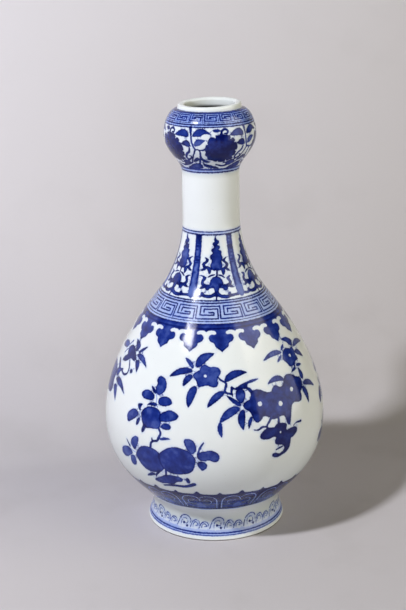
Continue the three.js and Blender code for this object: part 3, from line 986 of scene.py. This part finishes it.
# %% [markdown]
# ## Depth in a mark
# A regular turned mesh would need millions of faces to hold such fine lines. Here each point
# of the skin knows how deep it lies in the paint, in millimetres, and the finish draws the
# edge where that depth is zero, so an edge stays sharp inside a triangle. A line from the
# point to the side of the sheet tells whether it lies in a closed shape: then it crosses the
# outline an odd number of times.

# %% Depth in a mark
brush_spread, near_the_side = 0.22, 3.0


def nearest_on(starts, along, spots):
    """For each spot and stretch: the gap from its start, the share along it and the distance."""
    gap = spots[:, None] - starts
    share = np.clip((gap * along).sum(2) / (along ** 2).sum(1), 0, 1)
    return gap, share, np.sqrt(((gap - share[..., None] * along) ** 2).sum(2))


def depth_in_patch(outline, spots):
    along = np.roll(outline, -1, 0) - outline
    gap, _, away = nearest_on(outline, along, spots)
    crosses = (gap[..., 1] < 0) != (gap[..., 1] < along[:, 1])
    with np.errstate(divide="ignore", invalid="ignore"):
        left_of = gap[..., 0] < gap[..., 1] * along[:, 0] / along[:, 1]
    within = (crosses & left_of).sum(1) % 2 == 1
    return np.where(within, away.min(1), -away.min(1))


def depth_in_line(spine, halves, spots):
    _, share, away = nearest_on(spine[:-1], np.diff(spine, axis=0), spots)
    half = halves[:-1] + share * np.diff(halves)
    return (half - away * radius_at(spots[:, 1])[:, None]).max(1)


def is_band(halves):
    return isinstance(halves, str)


def mark_depth(kind, where, halves, spots, reach):
    """How deep the spots lie in one mark; outside it the depth is negative."""
    if halves is None:
        return depth_in_patch(where, spots) * reach + brush_spread * (kind == "cobalt")
    if is_band(halves):
        return np.minimum(spots[:, 1] - where[0, 1], where[1, 1] - spots[:, 1]) * reach
    return depth_in_line(where, halves, spots)


def wrapped(spots):
    """The mark where it lies on the sheet, and again where it crosses the sheet's side edge."""
    middle = (spots[:, 0].min() + spots[:, 0].max()) / 2
    spots = spots - (full_turn * np.round(middle / full_turn), 0)
    copies = [spots]
    if spots[:, 0].max() > near_the_side:
        copies.append(spots - (full_turn, 0))
    if spots[:, 0].min() < -near_the_side:
        copies.append(spots + (full_turn, 0))
    return copies


print("depth in a mark ready")

# %% [markdown]
# ## Layers of paint
# The painter worked in layers, and so does this step. Cobalt and petals add blue and set its
# tone, a wash adds pale blue, a wiped line takes cobalt off again, and a bare spot takes off
# both. The marks are gone through in order, and each one looks only at the points near it.
# Every point ends up with five values: its depth in cobalt and in wash, its distance from an
# outline, how pale the brush was and how thin the wash.

# %% Layers of paint
far_off, edge_row, faint_line = 3.0, 0.3, 0.75
tone_margin = 1.2 * edge_row


def spots_near(where, halves, spots, reach):
    """The numbers of the spots in a mark or close to it; a band runs right round the vase."""
    widest = halves.max() if isinstance(halves, np.ndarray) else 0
    room = (far_off + widest) / reach
    near = np.ones(len(spots), bool)
    for k in (1,) if is_band(halves) else (0, 1):
        near &= (spots[:, k] > where[:, k].min() - room) & (spots[:, k] < where[:, k].max() + room)
    return np.flatnonzero(near)


def drawn_line(kind, depth, before):
    """Distance from the nearest outline; a patch hides the outlines under it, petals don't."""
    if kind == "petals":
        return np.minimum(before, np.maximum(np.abs(depth), faint_line))
    return np.where(depth > 0, depth, np.minimum(before, -depth))


def paint_depths(spots):
    reach = radius_at(spots[:, 1])
    cobalt, wash = np.full(len(spots), -far_off), np.full(len(spots), -far_off)
    outline = np.full(len(spots), far_off)
    tones, thin = np.zeros(len(spots)), np.zeros(len(spots))
    for kind, mark, halves, tone in painting:
        for where in [mark] if is_band(halves) else wrapped(mark):
            near = spots_near(where, halves, spots, reach)
            if not len(near):
                continue
            depth = mark_depth(kind, where, halves, spots[near], reach[near])
            covered = depth > -tone_margin
            if kind == "wash":
                wash[near] = np.maximum(wash[near], depth)
                thin[near] = np.where(covered, tone, thin[near])
            elif kind in ("bare", "wipe"):
                cobalt[near] = np.minimum(cobalt[near], -depth)
                if kind == "bare":
                    wash[near] = np.minimum(wash[near], -depth)
            else:
                cobalt[near] = np.maximum(cobalt[near], depth)
                outline[near] = drawn_line(kind, depth, outline[near])
                tones[near] = np.where(covered, tone, tones[near])
    return cobalt, wash, outline, tones, thin


print("layers of paint ready")

# %% [markdown]
# ## Points for the skin
# Triangles have to be small where the paint changes and may be large on plain glaze. So rows
# of points follow both sides of every painted edge and of every band, and a loose scatter
# fills the rest. In the scatter every other row is shifted by half a step, which gives nearly
# equal triangles.

# %% Points for the skin
band_step, thin_band, least_in_row, row_rise = 1.3, 2.6, 12, 0.866


def rows_beside(spots, halves):
    """Points in rows along a mark's edges, and along the middle of a brush line."""
    if halves is None:
        along = np.roll(spots, -1, 0) - np.roll(spots, 1, 0)
    else:
        along = np.gradient(spots, axis=0)
    side = np.stack([-along[:, 1], along[:, 0]], 1)
    side /= np.linalg.norm(side, axis=1)[:, None] * radius_at(spots[:, 1])[:, None]
    if halves is None:
        return [spots + side * edge_row, spots - side * edge_row]
    outer = (halves + edge_row)[:, None]
    rows = [spots, spots + side * outer, spots - side * outer]
    if halves.max() > 2 * edge_row:
        inner = np.maximum(halves - edge_row, 0)[:, None]
        rows += [spots + side * inner, spots - side * inner]
    return rows


def level_row(count, rise, shift):
    """Points right round the sheet at one height; shift is a share of the step between them."""
    turn = -np.pi + full_turn * (np.arange(count) + shift) / count
    return np.stack([turn, np.full(count, rise)], 1)


def rows_of_band(low, high):
    """Rows right round the vase beside both edges of a band, or along the middle of a thin one."""
    edge = edge_row / radius_at(low)
    within = [(low + high) / 2] if high - low < thin_band * edge else [low + edge, high - edge]
    count = round(full_turn * radius_at(low) / band_step)
    return [level_row(count, rise, 0.5) for rise in (low - edge, *within, high + edge)]


def scattered(low, high, spacing):
    """Loose points over the sheet, about the same distance apart all over the vase."""
    rows, rise, odd = [], low + spacing / radius_at(low), 0
    while rise < high - 0.5 * spacing / radius_at(rise):
        count = max(least_in_row, round(full_turn * radius_at(rise) / spacing))
        rows.append(level_row(count, rise, 0.25 + 0.5 * odd))
        rise += row_rise * spacing / radius_at(rise)
        odd = 1 - odd
    return rows


print("rows of points ready")

# %% [markdown]
# ## All points of a section
# The rows and the scatter are put together here. Where points nearly meet, only the first is
# kept. The ends of a section get evenly spaced points, so that the hidden walls can be joined to
# them, and the two sides get the same heights, so that the rolled sheet closes.

# %% All points of a section
side_step, side_gap, least_gap = 1.2, 0.4, 0.24


def border_of(low, high, ring_steps):
    """Points along the four sides of a section's part of the sheet."""
    turn = -np.pi + full_turn * np.arange(ring_steps + 1) / ring_steps
    ends = [np.stack([turn, np.full_like(turn, rise)], 1) for rise in (low, high)]
    start, stop = run_to(low), run_to(high)
    count = max(3, round((stop - start) / side_step))
    rise = np.interp(np.linspace(start, stop, count)[1:-1], travel, climb)
    sides = [np.stack([np.full_like(rise, edge), rise], 1) for edge in (-np.pi, np.pi)]
    return ends + sides


def points_for(low, high, spacing, ring_steps):
    """All the points of one section's skin, between two heights on the sheet."""
    bands, rows = [], []
    for _, mark, halves, _ in painting:
        if is_band(halves):
            bands += rows_of_band(*mark[:, 1])
            continue
        for where in wrapped(mark):
            if where[:, 1].max() > low and where[:, 1].min() < high:
                rows += rows_beside(where, halves)
    spots = np.vstack(bands + rows + scattered(low, high, spacing))
    margin = side_gap / radius_at(spots[:, 1])
    kept = np.abs(spots[:, 0]) < np.pi - margin
    kept &= (spots[:, 1] > low + margin) & (spots[:, 1] < high - margin)
    spots = spots[kept]
    on_vase = np.stack([spots[:, 0] * radius_at(spots[:, 1]), run_to(spots[:, 1])], 1)
    _, first = np.unique(np.round(on_vase / least_gap).astype(int), axis=0, return_index=True)
    return np.vstack(border_of(low, high, ring_steps) + [spots[np.sort(first)]])


print("all points ready")

# %% [markdown]
# ## White glaze
# The porcelain is a cool white. The clear glaze ran while it melted: it is thick round the
# waist, low on the belly and under the bulb, and turns faintly green there; round the waist and
# low on the belly the same tint also serves as painted shade. Inside, out of reach of the brush,
# the walls are painted dark grey as painted shade in the hollow. The edge at the floor is darker.
# Each of these is a soft belt of height, so one helper makes them all. Noise in the roughness and
# a weak bump keep the gloss as uneven as a glaze that flowed.

# %% White glaze
cool_white, bright_white, thick_glaze_and_shade = tint(237, 241, 243), tint(242, 246, 248), tint(180, 192, 193)
floor_edge_dark, iron_speck, painted_inner_shade = tint(104, 94, 88), tint(120, 112, 100), tint(62, 62, 54)


def height_on_vase(tree):
    return add_node(tree, "ShaderNodeSeparateXYZ", {0: own_space(tree)}).outputs["Z"]


def belt(tree, height, start, full, fall, end, strength=1.0):
    """Grows from start to full and fades from fall to end, all heights in metres."""
    return times(tree, fade(tree, height, start, full), fade(tree, height, end, fall, 0.0, strength))


def glaze_white(tree):
    """Porcelain seen through clear glaze, darker with thicker glaze and painted shade in the hollows of the
    form.
    """
    height = height_on_vase(tree)
    porcelain = mix_colours(tree, mottle(tree, 60), cool_white, bright_white)
    # thicker glaze and painted shade: darker round the waist and low on the belly, where the belly shades the
    # wall
    waist_pool_and_shade = belt(tree, height, 0.006, 0.0125, 0.014, 0.03)
    under_bulb = belt(tree, height, 0.2335, 0.2365, 0.2365, 0.2425, 0.5)
    low_belly_pool_and_shade = belt(tree, height, 0.012, 0.02, 0.036, 0.09, 0.7)
    pooled_and_shaded = calculate(tree, "MAXIMUM", plus(tree, waist_pool_and_shade, under_bulb), low_belly_pool_and_shade)
    porcelain = mix_colours(tree, times(tree, pooled_and_shaded, 0.5), porcelain, thick_glaze_and_shade)
    # darker towards the floor: the last 0.7 mm of the outside
    porcelain = mix_colours(tree, fade(tree, height, 0.0007, 0.0002), porcelain, floor_edge_dark)
    specks = fade(tree, mottle(tree, 1400, 0.0), 0.83, 0.86, 0.0, 0.2)
    return mix_colours(tree, specks, porcelain, iron_speck)


def glossy(tree, shader):
    """A glaze that flowed: a little less polished in places, and never perfectly even."""
    polish = fade(tree, mottle(tree, 35, 3.0), 0.3, 0.7, 0.09, 0.15)
    tree.links.new(polish, shader.inputs["Roughness"])
    ripple = add_node(tree, "ShaderNodeBump", {
        "Height": mottle(tree, 70, 2.0), "Distance": 0.0002, "Strength": 0.6})
    tree.links.new(ripple.outputs[0], shader.inputs["Normal"])
    shader.inputs["IOR"].default_value = 1.5
    shader.inputs["Specular IOR Level"].default_value = 0.36


plain_glaze, tree, shader = new_finish("clear_glaze_on_porcelain")
# painted shade: the inside walls, from 120 mm up to just under the lip, are painted dark grey
inside_shade_share = belt(tree, height_on_vase(tree), 0.1, 0.12, 0.2738, 0.2758, 0.95)
plain_white = mix_colours(tree, inside_shade_share, glaze_white(tree), painted_inner_shade)
tree.links.new(plain_white, shader.inputs["Base Color"])
glossy(tree, shader)
print("finish:", plain_glaze.name)

# %% [markdown]
# ## Cobalt under glaze
# Cobalt is painted on the raw clay and melts into the glaze. Its edge wavers, so noise is added
# to the depth before the edge is drawn. Just outside lies a fringe where the blue bled, and
# further out a faint halo. Inside, the blue is darkest along the outlines that the brush drew
# first, and cloudy where it filled them. A colour ramp gives the blues, from the darkest to the
# palest, and the value that reads it is the tone of the mark with the clouds and outlines.

# %% Cobalt under glaze
darkest_blue, strong_blue, palest_blue = tint(8, 19, 90), tint(30, 51, 138), tint(106, 130, 206)
wash_blue, fringe_blue, halo_blue = tint(140, 166, 233), tint(112, 138, 216), tint(194, 211, 248)
strong_from = 0.3
painted_glaze, tree, shader = new_finish("cobalt_under_glaze")
waver = minus(tree, mottle(tree, 800, 3.0), 0.5)
cloudy = minus(tree, mottle(tree, 170, 3.0), 0.5)
cobalt_edge = plus(tree, read_attribute(tree, "cobalt"), times(tree, waver, 0.7))
wash_edge = plus(tree, read_attribute(tree, "wash"), times(tree, waver, 0.9))
wash_flow = plus(tree, times(tree, cloudy, 0.6), 0.8)
wash_share = times(tree, fade(tree, wash_edge, -0.3, 0.3), wash_flow)
wash_share = times(tree, wash_share, minus(tree, 1.0, read_attribute(tree, "thin")))
outlined = fade(tree, read_attribute(tree, "outline"), 0.2, 1.0, 0.25, 0.0)
paleness = plus(tree, read_attribute(tree, "tone"), times(tree, cloudy, 0.95))
paleness = minus(tree, plus(tree, paleness, strong_from), outlined)
ramp = add_node(tree, "ShaderNodeValToRGB", {0: paleness})
ramp.color_ramp.elements[0].color = darkest_blue
ramp.color_ramp.elements[1].color = palest_blue
ramp.color_ramp.elements.new(strong_from).color = strong_blue
ground = mix_colours(tree, wash_share, glaze_white(tree), wash_blue)
halo = fade(tree, cobalt_edge, -1.8, -0.1, 0.0, 0.32)
ground = mix_colours(tree, halo, ground, halo_blue, "MULTIPLY")
fringe = fade(tree, cobalt_edge, -0.34, -0.04, 0.0, 0.5)
ground = mix_colours(tree, fringe, ground, fringe_blue)
painted_colour = mix_colours(tree, fade(tree, cobalt_edge, -0.16, 0.12), ground, ramp.outputs[0])
tree.links.new(painted_colour, shader.inputs["Base Color"])
glossy(tree, shader)
print("finish:", painted_glaze.name)

# %% [markdown]
# ## Dry clay and slip
# The rim that the vase stands on was wiped clean of glaze and shows dry clay, toasted by the
# kiln. Slip is clay thinned with water, a little finer and paler. Both are matt, so a mottled
# colour and a high roughness are enough.

# %% Dry clay and slip
def matt_clay(name, first, second, share_of, roughness):
    """A matt finish between two colours; share_of makes the node that mixes them."""
    finish, tree, shader = new_finish(name)
    tree.links.new(mix_colours(tree, share_of(tree), first, second), shader.inputs["Base Color"])
    shader.inputs["Roughness"].default_value = roughness
    return finish


def toast(tree):
    return fade(tree, mottle(tree, 220, 4.0), 0.35, 0.7)


def fine_grain(tree):
    return mottle(tree, 300, 3.0)


dry_clay = matt_clay("dry_clay", tint(222, 214, 200), tint(196, 172, 142), toast, 0.85)
slip_clay = matt_clay("slip_clay", tint(216, 213, 204), tint(229, 227, 220), fine_grain, 0.55)
print("finishes:", dry_clay.name, slip_clay.name)

# %% [markdown]
# ## Skin of a section
# A Delaunay net joins scattered points into triangles that are as full as they can be. No
# operator of edit mode makes one, so this mesh is filled from lists. Rolled up, the net is the
# outside of a section. Its map for baking is the flat sheet itself, with a strip left free above
# it for the hidden walls.

# %% Skin of a section
map_name, map_edge, map_wide, painted_high = "OFBake", 0.005, 0.99, 0.9
weld_on_sheet = 1e-7


def link_object(name, mesh):
    thing = bpy.data.objects.new(name, mesh)
    bpy.context.scene.collection.objects.link(thing)
    return thing


def across_map(turn):
    return map_edge + map_wide * np.minimum(1, (turn + np.pi) / full_turn)


def skin_object(name, low, high, spacing, ring_steps):
    spots = points_for(float(rise_to(low)), float(rise_to(high)), spacing, ring_steps)
    net = delaunay_2d_cdt([Vector(spot) for spot in spots], [], [], 0, weld_on_sheet)
    spots, triangles = np.array([tuple(point) for point in net[0]]), np.array(net[2])
    owners = triangles.ravel()
    radius, height = radius_at(spots[:, 1]), np.interp(spots[:, 1], climb, outside[:, 1])
    solid = np.stack([radius * np.sin(spots[:, 0]), -radius * np.cos(spots[:, 0]), height], 1) * MM
    mesh = bpy.data.meshes.new(name)
    mesh.from_pydata(solid.tolist(), [], triangles.tolist())
    for key, values in zip(("cobalt", "wash", "outline", "tone", "thin"), paint_depths(spots)):
        corner = mesh.attributes.new(key, "FLOAT", "CORNER")
        corner.data.foreach_set("value", values[owners].astype(np.float32))
    run = run_to(spots[:, 1])
    up_map = map_edge + painted_high * (run - run.min()) / (run.max() - run.min())
    sheet = np.stack([across_map(spots[:, 0]), up_map], 1)
    layer = mesh.uv_layers.new(name=map_name)
    layer.data.foreach_set("uv", sheet[owners].astype(np.float32).ravel())
    mesh.materials.append(painted_glaze)
    return link_object(name, mesh)


print("skin ready")

# %% [markdown]
# ## Hidden walls
# The inside, the base and the seam faces aren't painted, so they are turned plainly: a
# half-section is drawn as a row of edges, and the spin operator carries it once round the axis.
# Its first and last copy then lie on each other, and merging the doubles closes the wall. The
# map of these faces fills the strip that the skin left free.

# %% Hidden walls
weld, hidden_low, hidden_high = 2e-6, 0.93, 0.065


def select_only(*things):
    """Selects these objects alone; the first one becomes the active one."""
    bpy.ops.object.select_all(action="DESELECT")
    for thing in things:
        thing.select_set(True)
    bpy.context.view_layer.objects.active = things[0]


def weld_doubles():
    bpy.ops.mesh.select_all(action="SELECT")
    bpy.ops.mesh.remove_doubles(threshold=weld)


def spin_profiles(name, profiles, ring_steps):
    """A wall turned from half-sections; each starts in the plane where the sheet's sides meet."""
    points, edges = [], []
    for profile in profiles:
        first = len(points)
        points += [(0, r * MM, z * MM) for r, z in profile]
        edges += [(i, i + 1) for i in range(first, len(points) - 1)]
    mesh = bpy.data.meshes.new(name)
    mesh.from_pydata(points, edges, [])
    wall = link_object(name, mesh)
    select_only(wall)
    bpy.ops.object.mode_set(mode="EDIT")
    bpy.ops.mesh.select_all(action="SELECT")
    bpy.ops.mesh.spin(steps=ring_steps, angle=full_turn, center=(0, 0, 0), axis=(0, 0, 1))
    weld_doubles()
    bpy.ops.object.mode_set(mode="OBJECT")
    return wall


def read_places(mesh):
    """The places of a mesh's points, in millimetres."""
    places = np.zeros(len(mesh.vertices) * 3, np.float32)
    mesh.vertices.foreach_get("co", places)
    return places.reshape(-1, 3) / MM


def map_hidden_faces(mesh, profiles):
    """Lays all faces that aren't painted in the free strip of the map."""
    path = np.vstack(profiles)
    run = np.r_[0, np.cumsum(np.linalg.norm(np.diff(path, axis=0), axis=1))]
    places = read_places(mesh)
    half = np.stack([np.hypot(places[:, 0], places[:, 1]), places[:, 2]], 1)
    layer = mesh.uv_layers[map_name]
    for face in mesh.polygons:
        if face.material_index == 0:
            continue
        turns = [math.atan2(places[i, 0], -places[i, 1]) for i in face.vertices]
        if max(turns) - min(turns) > math.pi:
            turns = [turn + full_turn if turn < 0 else turn for turn in turns]
        for corner, vertex, turn in zip(face.loop_indices, face.vertices, turns):
            nearest = np.argmin(((path - half[vertex]) ** 2).sum(1))
            layer.data[corner].uv = (across_map(turn), hidden_low + hidden_high * run[nearest] / run[-1])


print("hidden walls ready")

# %% [markdown]
# ## Shading of the skin
# Triangles of many sizes would show as flecks in the gloss, because Blender guesses the
# direction of a smooth surface from the faces round each point. Here the true direction is
# known from the half-section, so it is written into the painted corners. The gloss then runs
# on from one section to the next.

# %% Shading of the skin
on_axis = 1e-6


def shade_from_half_section(mesh):
    count, faces = len(mesh.loops), len(mesh.polygons)
    normals, owners = np.zeros(count * 3, np.float32), np.zeros(count, np.int32)
    mesh.corner_normals.foreach_get("vector", normals)
    mesh.loops.foreach_get("vertex_index", owners)
    slots, sizes = np.zeros(faces, np.int32), np.zeros(faces, np.int32)
    mesh.polygons.foreach_get("material_index", slots)
    mesh.polygons.foreach_get("loop_total", sizes)
    painted = np.repeat(slots, sizes) == 0
    places = read_places(mesh)[owners]
    radius = np.maximum(np.hypot(places[:, 0], places[:, 1]), on_axis)
    outwards, upwards = (np.interp(places[:, 2], outside[:, 1], facing[:, k]) for k in (0, 1))
    turned = np.stack([outwards * places[:, 0] / radius, outwards * places[:, 1] / radius, upwards], 1)
    turned /= np.linalg.norm(turned, axis=1)[:, None]
    shaded = np.where(painted[:, None], turned, normals.reshape(-1, 3))
    mesh.normals_split_custom_set(shaded.tolist())


print("shading ready")

# %% [markdown]
# ## One section
# Each section is one closed body: the painted skin outside and the hidden walls. The two have
# the same points along the seam, so merging doubles closes the body. In each joint a thin lip
# of the skin hides the slip. The number of open edges that is printed should be zero.

# %% One section
lip_depth, smooth_angle = 0.8, math.radians(38)


def section(name, low, high, profiles, spacing=2.6, ring_steps=240, dry_below=0.0):
    """Skin and walls joined; faces whose middle lies below dry_below get dry clay."""
    piece = skin_object(name, low, high, spacing, ring_steps)
    wall = spin_profiles(name + "_wall", profiles, ring_steps)
    wall.data.materials.append(plain_glaze)
    wall.data.materials.append(dry_clay)
    for face in wall.data.polygons:
        face.material_index = int(face.center.z < dry_below * MM)
    select_only(piece, wall)
    bpy.ops.object.join()
    bpy.ops.object.mode_set(mode="EDIT")
    weld_doubles()
    bpy.ops.mesh.normals_make_consistent(inside=False)
    bpy.ops.mesh.select_all(action="DESELECT")
    bpy.ops.mesh.select_mode(type="EDGE")
    bpy.ops.mesh.select_non_manifold()
    bpy.ops.object.mode_set(mode="OBJECT")
    open_edges = sum(edge.select for edge in piece.data.edges)
    bpy.ops.object.shade_smooth_by_angle(angle=smooth_angle)
    map_hidden_faces(piece.data, profiles)
    shade_from_half_section(piece.data)
    triangles = sum(len(face.vertices) - 2 for face in piece.data.polygons)
    print(name, triangles, "triangles,", open_edges, "open edges")
    return piece


def joint_above(radius, height, inner):
    """Seam face at the top of a section, from the skin inwards to the inner wall."""
    rim = radius - lip_depth
    return [(radius, height), (rim, height), (rim, height - half_slip), (inner, height - half_slip)]


def joint_below(radius, height, inner):
    """Seam face at the foot of a section, from the inner wall outwards to the skin."""
    rim = radius - lip_depth
    return [(inner, height + half_slip), (rim, height + half_slip), (rim, height), (radius, height)]


print("section ready")

# %% [markdown]
# ## Foot and lower belly
# The foot is a ring, hollow underneath, that stands on a narrow flat rim. The lower belly is a
# bowl with the floor of the vase. Their inner walls follow the CAD source. They are made as
# sections of one half-section, because the potter threw them one by one on the same axis.

# %% Foot and lower belly
recess_radius, rim_inside, standing_edge = 36, 41.6, 0.05
belly_inside, floor_height, base_height = 67.5, 20.5, 14.5
foot_hollow = sweep(place(rim_inside, rim_round, 11), place(recess_radius, waist_low, 32), (4.3, 3), 10)[::-1]
foot_edge = sweep(place(rim_inside, rim_round, falling), place(rim_inside + rim_round, 0, level_out),
                  rim_pulls, 5)
foot_walls = [chain(joint_above(waist_radius, waist_joint, recess_radius), foot_hollow, foot_edge,
                    [(rim_radius - rim_round, 0)])]
foot_piece = section("foot", 0, waist_joint, foot_walls, 2.0, 240, standing_edge)
bowl = sweep(place(0, floor_height, level_out), place(belly_inside, girth_low), (40.5, 40), 24)[::-1]
underside = sweep(place(0, base_height, level_out), place(recess_radius, waist_high, -100), (12, 10), 12)
lower_walls = [chain(joint_above(girth_radius, girth_joint, belly_inside), bowl),
               chain(underside, joint_below(waist_radius, waist_joint, recess_radius))]
lower_piece = section("lower_belly_painted", waist_joint, girth_joint, lower_walls, 2.6, 480)

# %% [markdown]
# ## Upper belly, neck and mouth
# The upper belly carries the shoulder and runs up into the neck, which is a plain tube. The
# mouth is a hollow bulb that is drawn in again under a rounded lip. The smaller sections get
# closer points on plain glaze, because their curves are tighter.

# %% Upper belly, neck and mouth
neck_inside, mouth_inside = 14, 15.7
shoulder_inside = place(32.48, 152.89, shoulder_lean)
bulb_inside, bulb_inside_falling = (place(24.8, bulb_height, lean) for lean in (0, falling))
nape_inside = chain(sweep(place(belly_inside, girth_high), shoulder_inside, (32, 16.5), 20),
                    sweep(shoulder_inside, place(neck_inside, nape_end), (22.5, 17), 16))[::-1]
upper_walls = [chain(joint_above(neck_radius, neck_foot, neck_inside), nape_inside,
                     joint_below(girth_radius, girth_joint, belly_inside))]
upper_piece = section("upper_belly_painted", girth_joint, neck_foot, upper_walls, 2.6, 480)
neck_walls = [chain(joint_above(neck_radius, neck_head, neck_inside),
                    joint_below(neck_radius, neck_foot, neck_inside))]
neck_piece = section("neck_glazed", neck_foot, neck_head, neck_walls, 2.0)
mouth_walls = [chain(
    sweep(lip_crest, place(mouth_inside, 278.3, falling), (1.9, 0.9), 10),
    sweep(place(mouth_inside, 276.5, falling), bulb_inside_falling, (6, 10.5), 20),
    sweep(place(neck_inside, bulb_start), bulb_inside, (8.5, 10), 20)[::-1],
    joint_below(neck_radius, neck_head, neck_inside),
)]
mouth_piece = section("garlic_mouth_painted", neck_head, vase_height, mouth_walls, 1.8)

# %% [markdown]
# ## Uneven lip
# A lip that is trimmed by hand is seldom level. In the photograph it is lower at the front left,
# by a millimetre and a half. Only the lip is lowered there: the drop starts at its foot, so the
# painted border under it stays round.

# %% Uneven lip
lip_start, lip_rise, lip_reach = lip_foot * MM, (vase_height - lip_foot) * MM, lip_radius * MM
lip_drop = 1.5 * MM
sag_bearing = math.radians(-42)
sag = Vector((math.sin(sag_bearing), -math.cos(sag_bearing), 0))
for vertex in mouth_piece.data.vertices:
    share = min(1, max(0, (vertex.co.z - lip_start) / lip_rise))
    vertex.co.z -= lip_drop * share * (1 + vertex.co.dot(sag) / lip_reach) / 2
print("highest point of the lip:", round(max(v.co.z for v in mouth_piece.data.vertices) / MM, 2), "mm")

# %% [markdown]
# ## Slip
# Each joint has a ring of slip between the two seam faces, and where it was squeezed out inside,
# it left a soft bead. The half-section of the ring is spun about the axis as the walls were.

# %% Slip
bead_pull, bead_steps, slip_steps = 0.9, 8, 120


def slip_ring(name, outer, inner, height, node):
    low, high, rim = height - half_slip, height + half_slip, outer - lip_depth
    bead = sweep(place(inner, high, level_in), place(inner, low, level_out),
                 (bead_pull, bead_pull), bead_steps)
    ring = spin_profiles(name, [chain([(rim, low), (rim, high)], bead, [(rim, low)])], slip_steps)
    bpy.ops.object.mode_set(mode="EDIT")
    bpy.ops.mesh.select_all(action="SELECT")
    bpy.ops.mesh.normals_make_consistent(inside=False)
    bpy.ops.object.mode_set(mode="OBJECT")
    bpy.ops.object.shade_smooth_by_angle(angle=smooth_angle)
    ring.data.materials.append(slip_clay)
    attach(ring, "root")
    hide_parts(node)
    print(name, len(ring.data.polygons), "faces")


slip_ring("foot_slip_ring", waist_radius, recess_radius, waist_joint, "foot_slip")
slip_ring("belly_slip_ring", girth_radius, belly_inside, girth_joint, "belly_slip")
slip_ring("shoulder_slip_ring", neck_radius, neck_inside, neck_foot, "shoulder_slip")
slip_ring("neck_slip_ring", neck_radius, neck_inside, neck_head, "neck_slip")

# %% [markdown]
# ## Into the frame
# Every piece rides on the one body of the vase and stands for its CAD node, which is hidden.

# %% Into the frame
for piece, node, slot in (
    (foot_piece, "foot_ring", "foot_porcelain"),
    (lower_piece, "lower_belly", "glazed_porcelain"),
    (upper_piece, "upper_belly", "glazed_porcelain"),
    (neck_piece, "neck", "glazed_porcelain"),
    (mouth_piece, "garlic_mouth", "glazed_porcelain"),
):
    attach(piece, "root")
    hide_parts(node)
